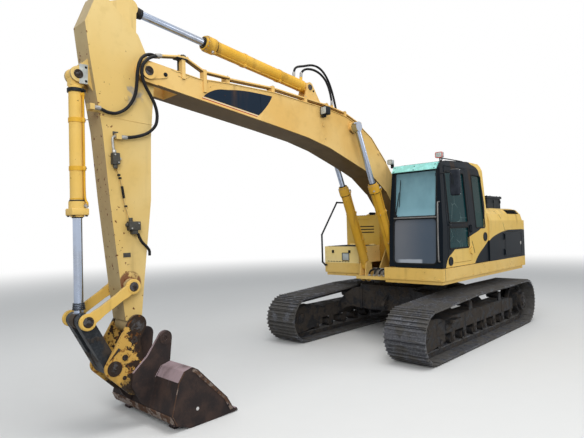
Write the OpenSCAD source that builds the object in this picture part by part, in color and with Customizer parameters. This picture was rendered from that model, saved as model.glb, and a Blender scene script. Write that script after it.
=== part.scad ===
// Crawler excavator of the 20 tonne class, in millimetres.
// +X is forward, +Y is the machine's left, +Z is up. The origin is on the ground, under the swing axis.

/* [Undercarriage] */
// Distance between the middles of the two tracks
track_gauge = 2390; // [2250:10:2600]
// Width of a track shoe
shoe_w = 640; // [500:10:760]
// Distance from the front idler's axle to the sprocket's axle
wheelbase = 3744; // [3500:10:3900]
// Radius on which the chain runs at the idler
idler_r = 257; // [240:1:270]
// Radius on which the chain runs at the sprocket
sprocket_r = 287; // [260:1:300]
// Radius of a bottom roller
roller_r = 80; // [70:1:85]
// Radius of a top roller
carrier_r = 62; // [50:1:70]
// Height of a chain link
link_h = 95; // [80:1:110]
// Width over the chain's links
link_w = 200; // [160:5:220]
// Thickness of a shoe's plate
plate_t = 13; // [8:1:18]
// Height of the three bars on a shoe
grouser_h = 25; // [15:1:35]
// Distance from one shoe to the next
shoe_pitch = 190; // [160:1:216]
// Width of a track frame's box beam
beam_w = 290; // [270:5:320]
// Outer radius of the swing ring
ring_r = 640; // [560:5:700]
// Height of the swing ring's foot above the ground
ring_z = 905; // [890:1:930]

/* [House] */
// Width of the house over its skirts
house_w = 2712; // [2600:10:2800]
// Height of the deck frame's underside
deck_z = 1050; // [1045:1:1060]
// Thickness of the deck frame's floor
deck_t = 55; // [40:1:60]
// Height of the painted skirts
skirt_h = 185; // [150:5:190]
// Thickness of the skirts
skirt_t = 45; // [30:1:60]
// Distance of the front skirt ahead of the swing axis
front_x = 1338; // [1300:5:1400]
// Radius swept by the counterweight
tail_r = 2750; // [2700:10:2850]
// Height of the engine hood's shoulder above the ground
shoulder_z = 2250; // [2200:10:2300]
// Thickness of the body's sheet walls
wall_t = 30; // [20:1:40]

/* [Cab] */
// Distance of the cab's right wall from the middle plane
cab_y0 = 402; // [400:1:430]
// Distance of the cab's left wall from the middle plane
cab_y1 = 1335; // [1320:1:1340]
// Height of the cab's foot above the ground
cab_z = 1300; // [1295:1:1310]
// Height of the cab's roof above the ground
roof_z = 3020; // [2950:5:3050]
// Thickness of the cab's walls and door
cab_t = 50; // [40:1:55]
// Thickness of the window panes
glass_t = 6; // [4:1:8]

/* [Boom, stick and bucket] */
// Half the width of the boom's box
boom_half = 205; // [190:1:208]
// Half the width of the stick's box
stick_half = 132; // [120:1:150]
// Radius of the large pins
pin_r = 45; // [35:1:50]
// Outer radius of the boom cylinders
boom_cyl_r = 74; // [65:1:78]
// Outer radius of the stick cylinder
stick_cyl_r = 84; // [75:1:90]
// Outer radius of the bucket cylinder
bucket_cyl_r = 64; // [60:1:80]
// Radius of the chromed rods
rod_r = 44; // [35:1:48]
// Width of the bucket over its side plates
bucket_w = 1200; // [900:10:1400]
// Thickness of the bucket's plates
bucket_t = 22; // [16:1:30]
// Length of the boom cylinders' barrels from the base pin
boom_barrel_l = 1510; // [1440:5:1540]
// Length of the stick cylinder's barrel from the base pin
stick_barrel_l = 1860; // [1800:5:1900]
// Length of the bucket cylinder's barrel from the base pin
bucket_barrel_l = 1375; // [1350:5:1400]

/* [Hidden] */
$fn = 48;

// Paint and metal
yellow = [0.86, 0.66, 0.30];
bright_yellow = [0.92, 0.62, 0.10];
black = [0.10, 0.10, 0.11];
mud = [0.32, 0.29, 0.26];
rust = [0.30, 0.20, 0.15];
chrome = [0.70, 0.74, 0.80];
glass = [0.35, 0.55, 0.58];

// Clearances: at a pin in its bore, between moving pieces, and at a seat
pin_gap = 0.05;
move_gap = 6;
seat_gap = 0.3;

// Pins of the linkage in the X-Z plane, from the swing axis on the ground
boom_foot = [110, 1830];
boom_tip = [5490, 3640];
boom_cyl_base = [945, 1270];
boom_cyl_eye = [1937, 3520];
stick_cyl_base = [2770, 4030];
stick_cyl_eye = [5600, 4330];
bucket_cyl_base = [6160, 3500];
link_pin = [5700, 1420];
link_eye = [6165, 1136];
bucket_pin = [5650, 1030];
bucket_link_pin = [5900, 640];
boom_cyl_y = 300;
eye_w = 90;

// Extrude a shape drawn in X and Z from y0 to y1
module slab(y0, y1) {
  translate([0, y1, 0]) rotate([90, 0, 0]) linear_extrude(y1 - y0) children();
}
// The same shape on the left and on the right of the middle plane
module both_slabs(y0, y1) {
  slab(y0, y1) children();
  slab(-y1, -y0) children();
}
// Extrude a shape drawn in Y and Z from x0 to x1
module along_x(x0, x1) {
  translate([x0, 0, 0]) rotate([90, 0, 90]) linear_extrude(x1 - x0) children();
}
// Round bar across the machine, centred on the point p of the X-Z plane
module cross_bar(p, r, y0, y1) {
  translate([p[0], y0, p[1]]) rotate([-90, 0, 0]) cylinder(r = r, h = y1 - y0);
}
// Flat bar with round ends from p to q, drawn in X and Z
module strap(p, q, rp, rq) {
  d = norm(q - p);
  a = atan2(q[1] - p[1], q[0] - p[0]);
  t = acos((rp - rq) / d);
  translate(p) circle(r = rp);
  translate(q) circle(r = rq);
  polygon([p + rp * [cos(a + t), sin(a + t)], q + rq * [cos(a + t), sin(a + t)],
    q + rq * [cos(a - t), sin(a - t)], p + rp * [cos(a - t), sin(a - t)]]);
}

// The chain's path is a belt round five wheels: [x, z, radius], from the sprocket anticlockwise
tips_h = link_h + plate_t + grouser_h;
roller_z = tips_h + roller_r;
idler_z = tips_h + idler_r;
sprocket_z = tips_h + sprocket_r + 10;
roller_span = wheelbase - 884;
carrier_x = 350;
carrier_z = 860 - tips_h - carrier_r;
wheels = [[-wheelbase / 2, sprocket_z, sprocket_r], [-roller_span / 2, roller_z, roller_r],
  [roller_span / 2, roller_z, roller_r], [wheelbase / 2, idler_z, idler_r], [carrier_x, carrier_z, carrier_r]];
function wheel(i) = wheels[(i + 5) % 5];
function span(i) = norm([wheel(i + 1)[0] - wheel(i)[0], wheel(i + 1)[1] - wheel(i)[1]]);
function normal(i) = atan2(wheel(i + 1)[1] - wheel(i)[1], wheel(i + 1)[0] - wheel(i)[0])
  - acos((wheel(i)[2] - wheel(i + 1)[2]) / span(i));
function sweep(i) = let(d = normal(i) - normal(i - 1)) d - 360 * floor(d / 360);
function arc_len(i, e) = (wheel(i)[2] + e) * sweep(i) * PI / 180;
function line_len(i) = sqrt(pow(span(i), 2) - pow(wheel(i)[2] - wheel(i + 1)[2], 2));
function belt_len(e, i = 0) = i == 5 ? 0 : arc_len(i, e) + line_len(i) + belt_len(e, i + 1);
function on_wheel(i, a, e) = [wheel(i)[0] + (wheel(i)[2] + e) * cos(a), wheel(i)[1] + (wheel(i)[2] + e) * sin(a)];
// Point and heading at the distance s along the belt
function belt_at(s, e, i = 0) = s < arc_len(i, e)
  ? let(a = normal(i - 1) + s / (wheel(i)[2] + e) * 180 / PI) [on_wheel(i, a, e), a + 90]
  : s < arc_len(i, e) + line_len(i)
    ? let(a = normal(i), u = s - arc_len(i, e)) [on_wheel(i, a, e) + u * [-sin(a), cos(a)], a + 90]
    : belt_at(s - arc_len(i, e) - line_len(i), e, i + 1);
module belt_area(e) {
  for (w = wheels) translate([w[0], w[1]]) circle(r = w[2] + e, $fn = 64);
  polygon([for (i = [0:4]) each [on_wheel(i, normal(i - 1), e), on_wheel(i, normal(i), e)]]);
}
shoe_count = round(belt_len(link_h) / shoe_pitch);
shoe_step = belt_len(link_h) / shoe_count;
shoe_gap = 7;
bar_x = [65, 0, -65];
module shoe_outline() {
  half = (shoe_step - shoe_gap) / 2;
  polygon(concat([[-half, 4], [half, 4], [half, -plate_t]],
    [for (g = bar_x) each [[g + 11, -plate_t], [g + 7, -plate_t - grouser_h], [g - 7, -plate_t - grouser_h],
      [g - 11, -plate_t]]],
    [[-half, -plate_t]]));
}
module track(side) {
  color(mud) translate([0, side * track_gauge / 2, 0]) {
    slab(-shoe_w / 2, shoe_w / 2)
      for (k = [0:shoe_count - 1]) {
        at = belt_at((k + 0.5) * shoe_step, link_h);
        translate(at[0]) rotate(at[1]) shoe_outline();
      }
    slab(-link_w / 2, link_w / 2) difference() {
      belt_area(link_h);
      belt_area(0);
    }
  }
}

// Rollers, their seats and the frame's plates
roller_count = 8;
roller_half = link_w / 2 + 16;
yoke_y = roller_half + seat_gap;
yoke_t = 24;
beam_top = 560;
beam_bottom = 325;
beam_x0 = -wheelbase / 2 + sprocket_r + 60;
beam_x1 = wheelbase / 2 - idler_r - 60;
carriers = [carrier_x, carrier_x - 1250];
sprocket_x = -wheelbase / 2;
function chain_top(x) = carrier_z + carrier_r + (x - carrier_x) / (sprocket_x - carrier_x)
  * (sprocket_z + sprocket_r - carrier_z - carrier_r);
function carrier_at(x) = [x, chain_top(x) - carrier_r - 0.5];
function roller_x(k) = -roller_span / 2 + k * roller_span / (roller_count - 1);
module rollers(side) {
  color(mud) translate([0, side * track_gauge / 2, 0]) {
    for (k = [0:roller_count - 1])
      cross_bar([roller_x(k), roller_z], roller_r - seat_gap, -roller_half, roller_half);
    for (x = carriers) cross_bar(carrier_at(x), carrier_r - seat_gap, -roller_half + 30, roller_half);
    difference() {
      cross_bar([wheelbase / 2, idler_z], idler_r - seat_gap, -roller_half, roller_half);
      for (s = [-1, 1]) cross_bar([wheelbase / 2, idler_z], idler_r - 45, s > 0 ? 60 : -roller_half - 1,
        s > 0 ? roller_half + 1 : -60);
    }
    cross_bar([wheelbase / 2, idler_z], 85, -roller_half, roller_half);
  }
}
module track_frame(side) {
  color(mud) translate([0, side * track_gauge / 2, 0]) {
    // Box beam, lower at its ends
    slab(-beam_w / 2, beam_w / 2) polygon([[beam_x0, beam_bottom], [beam_x1, beam_bottom],
      [beam_x1, beam_top - 60], [beam_x1 - 500, beam_top], [beam_x0 + 250, beam_top], [beam_x0, beam_top - 40]]);
    // Yoke plates that carry the idler's axle
    both_slabs(yoke_y, yoke_y + yoke_t) polygon([[beam_x1 - 260, beam_bottom - 110], [wheelbase / 2 + 60, 130],
      [wheelbase / 2 + 190, 200], [wheelbase / 2 + 215, 430], [wheelbase / 2 + 120, 610],
      [beam_x1 - 60, beam_top + 20], [beam_x1 - 260, beam_top - 30]]);
    // Roller brackets
    for (k = [0:roller_count - 1])
      both_slabs(yoke_y, yoke_y + yoke_t) translate([roller_x(k), 0])
        polygon([[-60, beam_bottom + 10], [-42, roller_z - 38], [42, roller_z - 38], [60, beam_bottom + 10]]);
    // Carrier roller posts
    for (x = carriers) slab(yoke_y, yoke_y + yoke_t) translate([x, 0])
      polygon([[-70, beam_top - 5], [-40, carrier_at(x)[1] + 35], [40, carrier_at(x)[1] + 35], [70, beam_top - 5]]);
    // Plate that holds the drive
    side_y = side > 0 ? [-yoke_y - yoke_t, -yoke_y] : [yoke_y, yoke_y + yoke_t];
    slab(side_y[0], side_y[1]) difference() {
      union() {
        translate([-wheelbase / 2, sprocket_z]) circle(r = sprocket_r - 25);
        polygon([[-wheelbase / 2, sprocket_z - 200], [beam_x0 + 200, beam_bottom + 5], [beam_x0 + 200, beam_top - 10],
          [-wheelbase / 2, sprocket_z + 200]]);
      }
      translate([-wheelbase / 2, sprocket_z]) circle(r = 150);
    }
    // Step on the outer side
    slab_y = side > 0 ? [beam_w / 2 - 5, beam_w / 2 + 115] : [-beam_w / 2 - 115, -beam_w / 2 + 5];
    slab(slab_y[0], slab_y[1]) translate([950, beam_top - 70]) square([330, 40]);
  }
}
module drive(side) {
  color(mud) translate([-wheelbase / 2, side * track_gauge / 2, sprocket_z]) mirror([0, side > 0 ? 0 : 1, 0]) {
    cross_bar([0, 0], sprocket_r - seat_gap, -32, 32);
    cross_bar([0, 0], 215, -70, 165);
    cross_bar([0, 0], 150 - seat_gap, -250, 0);
    cross_bar([0, 0], 165, 160, 225);
    cross_bar([0, 0], 95, 220, 245);
  }
}
inner_y = track_gauge / 2 - beam_w / 2;
leg_x = 620;
module carbody() {
  color(mud) {
    difference() {
      union() {
        translate([-760, -560, 470]) cube([1520, 1120, ring_z - 470]);
        translate([0, 0, ring_z - 90]) cylinder(r = ring_r + 30, h = 90);
      }
      translate([0, 0, ring_z - 200]) cylinder(r = ring_r - 190, h = 201);
      // Towing eye bores, front and rear
      for (s = [-1, 1]) translate([s * 690, 0, 400]) cylinder(r = 1, h = 1);
    }
    // Four arched legs down to the track frames
    for (sx = [-1, 1]) for (sy = [-1, 1]) mirror([0, sy > 0 ? 0 : 1, 0])
      along_x(sx * leg_x - 170, sx * leg_x + 170)
        polygon([[520, ring_z - 40], [720, ring_z - 75], [900, ring_z - 190], [inner_y, beam_top - 5],
          [inner_y, beam_bottom + 10], [920, beam_bottom + 120], [760, 500], [520, 470]]);
    // Towing lugs
    for (s = [-1, 1]) difference() {
      slab(-30, 30) translate([s * 830, 0]) polygon([[-s * 90, 520], [s * 60, 520], [s * 90, 580], [s * 60, 640],
        [-s * 90, 760]]);
      cross_bar([s * 850, 585], 26, -31, 31);
    }
  }
}
module swing_ring() {
  color(black) difference() {
    translate([0, 0, ring_z]) cylinder(r = ring_r, h = deck_z - ring_z - 0.5, $fn = 96);
    translate([0, 0, ring_z - 1]) cylinder(r = ring_r - 150, h = deck_z - ring_z + 2, $fn = 96);
  }
}

// House outline, with the gap for the boom at the front
skirt_y = house_w / 2;
deck_top = deck_z + deck_t;
skirt_top = deck_top + skirt_h;
tail_x = -floor(sqrt(pow(tail_r, 2) - pow(skirt_y, 2)));
body_x0 = -480;
body_x1 = tail_x + 212;
right_x = front_x - 538;
front_end = cab_y0 - 67;
box_y = -520;
tower_y = boom_half + move_gap;
tower_t = 22;
lug_y0 = boom_cyl_y - eye_w / 2 - move_gap;
lug_y1 = boom_cyl_y + eye_w / 2 + move_gap;
module swing_frame() {
  inset = 25;
  color(yellow) {
    translate([0, 0, deck_z]) linear_extrude(deck_t) polygon([[front_x - inset, front_end],
      [front_x - inset, skirt_y - inset], [body_x1, skirt_y - inset], [body_x1 - 250, 900], [body_x1 - 250, -900],
      [body_x1, inset - skirt_y], [right_x - inset, inset - skirt_y], [right_x - inset, box_y], [1110, -400],
      [1110, front_end]]);
    // Mounts under the cab
    for (x = [-300, 1130]) for (y = [cab_y0 + 110, cab_y1 - 110]) translate([x, y, deck_top - 1])
      cylinder(r = 60, h = cab_z - deck_top + 1 - seat_gap);
    // Boom towers with the foot pin across
    for (s = [-1, 1]) slab(s > 0 ? tower_y : -tower_y - tower_t, s > 0 ? tower_y + tower_t : -tower_y) {
      translate(boom_foot) circle(r = 145);
      polygon([[-620, deck_top - 5], [700, deck_top - 5], [boom_foot[0] + 140, boom_foot[1] - 60],
        [boom_foot[0] - 140, boom_foot[1] + 40]]);
    }
    cross_bar(boom_foot, pin_r, -tower_y - tower_t, tower_y + tower_t);
    // Lugs of the boom cylinders
    for (s = [-1, 1]) {
      for (y = [lug_y0 - 16, lug_y1]) slab(s > 0 ? y : -y - 16, s > 0 ? y + 16 : -y)
        strap(boom_cyl_base, [boom_cyl_base[0], deck_top], 88, 110);
      cross_bar(boom_cyl_base, pin_r, s > 0 ? lug_y0 - 16 : -lug_y1 - 16, s > 0 ? lug_y1 + 16 : -lug_y0 + 16);
    }
  }
}
module skirts() {
  color(yellow) translate([0, 0, deck_top]) linear_extrude(skirt_h) {
    polygon([[front_x, front_end], [front_x, skirt_y], [body_x1, skirt_y], [body_x1, skirt_y - skirt_t],
      [front_x - skirt_t, skirt_y - skirt_t], [front_x - skirt_t, front_end]]);
    polygon([[right_x, box_y], [right_x, -skirt_y], [body_x1, -skirt_y], [body_x1, skirt_t - skirt_y],
      [right_x - skirt_t, skirt_t - skirt_y], [right_x - skirt_t, box_y]]);
  }
}
function tail_corner(s) = [for (p = s > 0 ? [0, 1, 2, 3, 4] : [4, 3, 2, 1, 0]) let(q = [[body_x1 - 1, skirt_y],
  [tail_x + 110, skirt_y], [tail_x + 10, skirt_y - 70], [tail_x - 70, skirt_y - 200], [-tail_r, 600]]) [q[p][0], s * q[p][1]]];
module counterweight() {
  z1 = 2010;
  color(yellow) difference() {
    intersection() {
      translate([0, 0, deck_top]) cylinder(r = tail_r, h = z1 - deck_top, $fn = 128);
      translate([-tail_r, -skirt_y, deck_top]) cube([tail_r + body_x1 - 1, house_w, z1 - deck_top]);
      // Rounded corners in plan
      translate([0, 0, deck_top]) linear_extrude(z1) polygon(concat(tail_corner(1), tail_corner(-1)));
      // Undercut at the lower edge and slope at the top
      slab(-skirt_y, skirt_y) polygon([[body_x1, deck_top], [-tail_r + 190, deck_top], [-tail_r, deck_top + 170],
        [-tail_r, z1 - 260], [-tail_r + 130, z1], [body_x1, z1]]);
    }
    // Two lifting eyes in the top
    for (s = [-1, 1]) translate([body_x1 - 260, s * 700, z1 - 120]) cylinder(r = 30, h = 121);
  }
}
engine_size = [750, 1200, 900];
engine_x0 = tail_x + 492;
module engine_block() {
  color(black) translate([engine_x0, -engine_size[1] / 2, deck_top]) cube(engine_size);
}

// Cross-section of the body in Y and Z, inset by t
function body_section(t) = [[skirt_y - t, skirt_top], [skirt_y - t, shoulder_z - 240], [skirt_y - t - 35, shoulder_z - 120],
  [skirt_y - 120 - t, shoulder_z - 30 - t / 2], [skirt_y - 240, shoulder_z - t], [240 - skirt_y, shoulder_z - t],
  [120 + t - skirt_y, shoulder_z - 30 - t / 2], [t + 35 - skirt_y, shoulder_z - 120], [t - skirt_y, shoulder_z - 240],
  [t - skirt_y, skirt_top]];
door_x0 = body_x1 + 60;
door_x1 = -1170;
door_z0 = skirt_top + 40;
door_z1 = 1800;
hood_half = 800;
hood_x0 = body_x1 + 60;
hood_x1 = -1150;
hood_axis = [hood_x1 + 14, shoulder_z + 28];
door_axis_x = door_x1 - move_gap - 8;
door_axis_y = skirt_y + 12;
door_hinges = [door_z0 + 90, door_z1 - 90];
module body_shell() {
  color(yellow) {
    difference() {
      along_x(body_x1, body_x0) polygon(body_section(0));
      along_x(body_x1 - 1, body_x0 - wall_t) polygon(concat([[skirt_y - wall_t, skirt_top - 1]],
        [for (p = body_section(wall_t)) p], [[wall_t - skirt_y, skirt_top - 1]]));
      // Engine hood opening
      translate([hood_x0, -hood_half, shoulder_z - 60]) cube([hood_x1 - hood_x0, 2 * hood_half, 100]);
      // Service door openings
      for (s = [-1, 1]) translate([door_x0, s > 0 ? skirt_y - 60 : -skirt_y - 60, door_z0])
        cube([door_x1 - door_x0, 120, door_z1 - door_z0]);
      // Passage for the boom towers in the front wall
      translate([body_x0 - wall_t - 1, -300, skirt_top - 1]) cube([wall_t + 2, 600, 450]);
    }
    // Pins and ears of the hood's hinges
    for (y = [-600, 600]) {
      cross_bar(hood_axis, 6, y - 75, y + 75);
      for (e = [-75, 61]) slab(y + e, y + e + 14) translate(hood_axis) {
        circle(r = 12);
        translate([-12, 2 - move_gap - 28]) square([24, move_gap + 26]);
      }
    }
    // Pins and ears of the service doors' hinges
    for (s = [-1, 1]) for (z = door_hinges) translate([door_axis_x, s * door_axis_y, z]) {
      translate([0, 0, -59]) cylinder(r = 5, h = 118);
      for (e = [-59, 46]) translate([0, 0, e]) mirror([0, s > 0 ? 0 : 1, 0]) {
        cylinder(r = 9, h = 13);
        translate([0, -9, 0]) cube([34, 15, 13]);
        translate([18, -14, 0]) cube([16, 6, 13]);
      }
    }
  }
}
module engine_hood() {
  g = move_gap;
  color(yellow) {
    difference() {
      translate([hood_x0 - 30, -hood_half - 30, shoulder_z + g]) cube([hood_x1 - hood_x0 + 30, 2 * hood_half + 60, 55]);
      translate([hood_x0, -hood_half, shoulder_z + g - 1]) cube([hood_x1 - hood_x0 - 30, 2 * hood_half, 35]);
    }
    // Hinge barrels at the front edge
    for (y = [-600, 600]) difference() {
      slab(y - 60, y + 60) translate(hood_axis) {
        circle(r = 14);
        translate([-16, -14]) square([16, 28]);
      }
      cross_bar(hood_axis, 6 + pin_gap, y - 61, y + 61);
    }
  }
}
module service_door(side) {
  g = move_gap;
  color(black) {
    translate([door_x0 + g, side > 0 ? skirt_y - wall_t : -skirt_y, door_z0 + g])
      cube([door_x1 - door_x0 - 2 * g, wall_t, door_z1 - door_z0 - 2 * g]);
    // Hinge barrels at the front edge
    for (z = door_hinges) translate([door_axis_x, side * door_axis_y, z - 45]) difference() {
      union() {
        cylinder(r = 10, h = 90);
        mirror([0, side > 0 ? 0 : 1, 0]) {
          translate([-34, -10, 0]) cube([34, 16, 90]);
          translate([-34, -14, 0]) cube([20, 6, 90]);
        }
      }
      translate([0, 0, -1]) cylinder(r = 5 + pin_gap, h = 92);
    }
  }
}
tank_h = 900;
module fuel_tank() {
  color(yellow) translate([body_x0 + 1, -skirt_y, skirt_top]) cube([550, 790, tank_h]);
}
lid_z = 1500;
lid_t = 100;
box_x0 = 92;
lid_axis = [box_x0 + 18, lid_z + lid_t + 10];
lid_hinges = [-1200, -720];
module toolbox() {
  color(yellow) difference() {
    translate([box_x0, -skirt_y, skirt_top]) cube([right_x - box_x0, 800, lid_z - skirt_top]);
    translate([box_x0 + 30, -skirt_y + 30, skirt_top + 30]) cube([right_x - box_x0 - 60, 740, lid_z]);
  }
  // Pins and ears of the lid's hinges
  color(yellow) for (y = lid_hinges) {
    cross_bar(lid_axis, 6, y - 60, y + 60);
    for (e = [-60, 48]) slab(y + e, y + e + 12) {
      translate(lid_axis) circle(r = 9.5);
      polygon([lid_axis + [-24, 9.5], lid_axis + [0, 9.5], lid_axis + [-4, -9], lid_axis + [-17, -9],
        [lid_axis[0] - 17, lid_z - 30], [lid_axis[0] - 24, lid_z - 30]]);
    }
  }
}
module toolbox_lid() {
  color(yellow) {
    translate([box_x0 + 14, -skirt_y, lid_z + seat_gap]) cube([right_x - box_x0 - 14, 800, lid_t - seat_gap]);
    for (y = lid_hinges) difference() {
      slab(y - 44, y + 44) {
        translate(lid_axis) circle(r = 12);
        translate(lid_axis + [-6, -12]) square([30, 12]);
      }
      cross_bar(lid_axis, 6 + pin_gap, y - 45, y + 45);
    }
  }
}
module handrail() {
  r = 17;
  rail = [[right_x + seat_gap, 40 - skirt_y, 1245], [right_x + 50, 40 - skirt_y, 1245],
    [right_x + 50, -skirt_y - 26, 1300], [right_x + 50, -skirt_y - 26, 1830], [350, -skirt_y - 26, 2470],
    [40, -skirt_y - 26, 2470], [0, 60 - skirt_y, 2400], [0, 60 - skirt_y, skirt_top + tank_h + seat_gap]];
  color(black) for (i = [0:len(rail) - 2]) {
    d = rail[i + 1] - rail[i];
    translate(rail[i]) {
      if (i > 0) sphere(r = r + 3);
      rotate([0, acos(d[2] / norm(d)), atan2(d[1], d[0])]) cylinder(r = r, h = norm(d));
    }
  }
}
module air_cleaner() {
  color(black) {
    translate([-1930, 870, shoulder_z]) cube([710, 160, 205]);
    translate([-1950, 850, shoulder_z + 200]) cube([750, 200, 45]);
  }
}

// Cab: side view and front view, inset by t
function cab_side(t) = [[-460 + t, cab_z + t], [1290 - t, cab_z + t], [1240 - t, 2085], [1165 - t, 2840],
  [1095 - t, 2930 - t / 2], [900, 2975 - t], [100, roof_z - t], [-370 + t / 2, roof_z - 8 - t],
  [-446 + t, roof_z - 60 - t / 2], [-470 + t, roof_z - 150 - t / 2], [-470 + t, 2150]];
function cab_front(t) = [[cab_y0 + t, cab_z + t], [cab_y1 - t, cab_z + t], [cab_y1 - t, 1950], [cab_y1 - 70 - t, 2900],
  [cab_y1 - 110 - t, roof_z + 5 - t], [cab_y0 + 70 + t, roof_z + 5 - t], [cab_y0 + 30 + t, 2900],
  [cab_y0 + t, 1950]];
module cab_body(t) {
  intersection() {
    slab(cab_y0 - 1, cab_y1 + 1) polygon(cab_side(t));
    along_x(-475, 1300) polygon(cab_front(t));
  }
}
door_edge0 = 265;
door_edge1 = 1110;
door_low = cab_z + cab_t + 4;
door_high = 2880;
// Door opening and door, drawn in X and Z, smaller by g all round and by f where the front edge swings out
module door_area(g, f = [0, 0, 0]) {
  polygon([[door_edge0 + g, door_low + g], [door_edge1 - g - f[0], door_low + g], [door_edge1 - g - f[1], 2150],
    [door_edge1 - 60 - g - f[2], door_high - g], [door_edge0 + g, door_high - g]]);
}
module rounded_pane(x0, z0, x1, z1, r) {
  for (x = [x0 + r, x1 - r]) for (z = [z0 + r, z1 - r]) translate([x, z]) circle(r = r, $fn = 24);
  translate([x0 + r, z0]) square([x1 - x0 - 2 * r, z1 - z0]);
  translate([x0, z0 + r]) square([x1 - x0, z1 - z0 - 2 * r]);
}
module front_panes(g) {
  rounded_pane(cab_y0 + 80 + g, cab_z + 55 + g, cab_y1 - 100 - g, 2070 - g, 70);
  rounded_pane(cab_y0 + 95 + g, 2095 + g, cab_y1 - 112 - g, 2820 - g, 30);
}
module side_panes(g) rounded_pane(-345 + g, 1890 + g, door_edge0 - 225 - g, 2800 - g, 40);
module right_panes(g) rounded_pane(-300 + g, 1750 + g, 1080 - g, 2790 - g, 50);
module rear_panes(g) rounded_pane(cab_y0 + 110 + g, 2300 + g, cab_y1 - 190 - g, 2770 - g, 50);
module door_panes(g) {
  rounded_pane(door_edge0 + 70 + g, 1985 + g, door_edge1 - 85 - g, 2800 - g, 30);
  rounded_pane(door_edge0 + 70 + g, 1580 + g, door_edge1 - 70 - g, 1915 - g, 30);
}
module cab_windows(g) {
  along_x(900, 1400) front_panes(g);
  slab(cab_y1 - 250, cab_y1 + 60) side_panes(g);
  slab(cab_y0 - 60, cab_y0 + 150) right_panes(g);
  along_x(-600, -100) rear_panes(g);
}
module cab_shell() {
  color(black) difference() {
    cab_body(0);
    cab_body(cab_t);
    cab_windows(0);
    slab(cab_y1 - 250, cab_y1 + 60) door_area(0);
  }
  // Pins and ears of the door's hinges
  color(black) for (z = cab_hinges) translate([door_axis[0], door_axis[1], z]) {
    translate([0, 0, -16]) cylinder(r = 6, h = 122);
    for (e = [-16, 93]) translate([0, 0, e]) {
      cylinder(r = 11, h = 13);
      translate([-45, -20, 0]) cube([45, 22, 13]);
    }
  }
}
cab_hinges = [1480, 1840];
module glazing() {
  difference() {
    cab_body(16);
    cab_body(16 + glass_t);
  }
}
module cab_glass() {
  color(glass) intersection() {
    glazing();
    cab_windows(0.4);
  }
}
module door_glass() {
  color(glass) intersection() {
    glazing();
    slab(cab_y1 - 250, cab_y1 + 60) door_panes(0.4);
  }
}
door_axis = [door_edge0 - 5, cab_y1 + 18];
module cab_door() {
  color(black) {
    difference() {
      intersection() {
        difference() {
          cab_body(0);
          cab_body(cab_t);
        }
        slab(cab_y1 - 250, cab_y1 + 60) door_area(move_gap, [4, 6, 14]);
      }
      slab(cab_y1 - 250, cab_y1 + 60) door_panes(0);
    }
    // Hinge barrels with their leaves
    for (z = cab_hinges) translate([door_axis[0], door_axis[1], z]) difference() {
      union() {
        cylinder(r = 12, h = 90);
        translate([0, -12, 0]) cube([50, 16, 90]);
        translate([14, -20, 0]) cube([36, 9, 90]);
      }
      translate([0, 0, -1]) cylinder(r = 6 + pin_gap, h = 92);
    }
  }
}
module sun_visor() {
  color([0.45, 0.78, 0.70]) difference() {
    slab(cab_y0 + 40, cab_y1 - 110) polygon([[1120, 2830], [1200, 2830], [1125, 2940], [1050, 2940]]);
    cab_body(-seat_gap);
  }
}
module cab_lamps() {
  color(black) difference() {
    union() {
      // Left lamp on a stem
      translate([1010, cab_y1 - 130, 2900]) cylinder(r = 12, h = 110);
      translate([985, cab_y1 - 190, 3009]) cube([70, 120, 90]);
      // Right lamp on a bracket beside the roof
      translate([1060, cab_y0 - 30, 2925]) cube([50, 69, 14]);
      translate([1098, cab_y0 - 30, 2925]) cube([12, 60, 130]);
      translate([1109, cab_y0 - 47, 2982]) cube([75, 86, 78]);
    }
    cab_body(-seat_gap);
  }
}
module side_mirror() {
  color(black) {
    difference() {
      translate([1160, cab_y1 - 120, 2740]) rotate([-90, 0, 0]) cylinder(r = 12, h = 245);
      cab_body(-seat_gap);
    }
    translate([1130, cab_y1 + 85, 2390]) cube([60, 170, 410]);
  }
}
seat_x = 250;
seat_y = (cab_y0 + cab_y1) / 2;
module seat_frame() {
  color(black) {
    translate([seat_x - 220, seat_y - 200, cab_z + cab_t]) cube([440, 400, 330]);
    translate([seat_x - 260, seat_y - 230, cab_z + cab_t + 330]) cube([500, 460, 40]);
    // Bracket behind the backrest
    translate([seat_x - 345, seat_y - 150, cab_z + cab_t + 330]) cube([86, 300, 40]);
    translate([seat_x - 345, seat_y - 150, cab_z + cab_t + 330]) cube([14, 300, 320]);
  }
}
module seat_cushions() {
  z = cab_z + cab_t + 370 + seat_gap;
  color([0.25, 0.25, 0.27]) {
    translate([seat_x - 200, seat_y - 240, z]) cube([460, 480, 110]);
    translate([seat_x - 330.7, seat_y - 220, z + 20]) cube([105, 440, 620]);
  }
}
module cab_controls() {
  color([0.2, 0.2, 0.22]) {
    for (s = [-1, 1]) {
      translate([seat_x - 160, seat_y + s * 310 - 55, cab_z + cab_t]) cube([420, 110, 560]);
      translate([seat_x + 200, seat_y + s * 310, cab_z + cab_t + 550]) cylinder(r = 18, h = 210);
    }
    // Travel pedals and levers
    for (s = [-1, 1]) translate([seat_x + 620, seat_y + s * 75 - 35, cab_z + cab_t]) {
      cube([180, 70, 40]);
      translate([90, 35, 30]) cylinder(r = 10, h = 560);
    }
    // Monitor on the right front pillar
    translate([seat_x + 560, cab_y0 + cab_t, cab_z + cab_t]) cube([60, 60, 620]);
    translate([seat_x + 540, cab_y0 + cab_t, cab_z + cab_t + 600]) cube([60, 200, 170]);
  }
}

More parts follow.
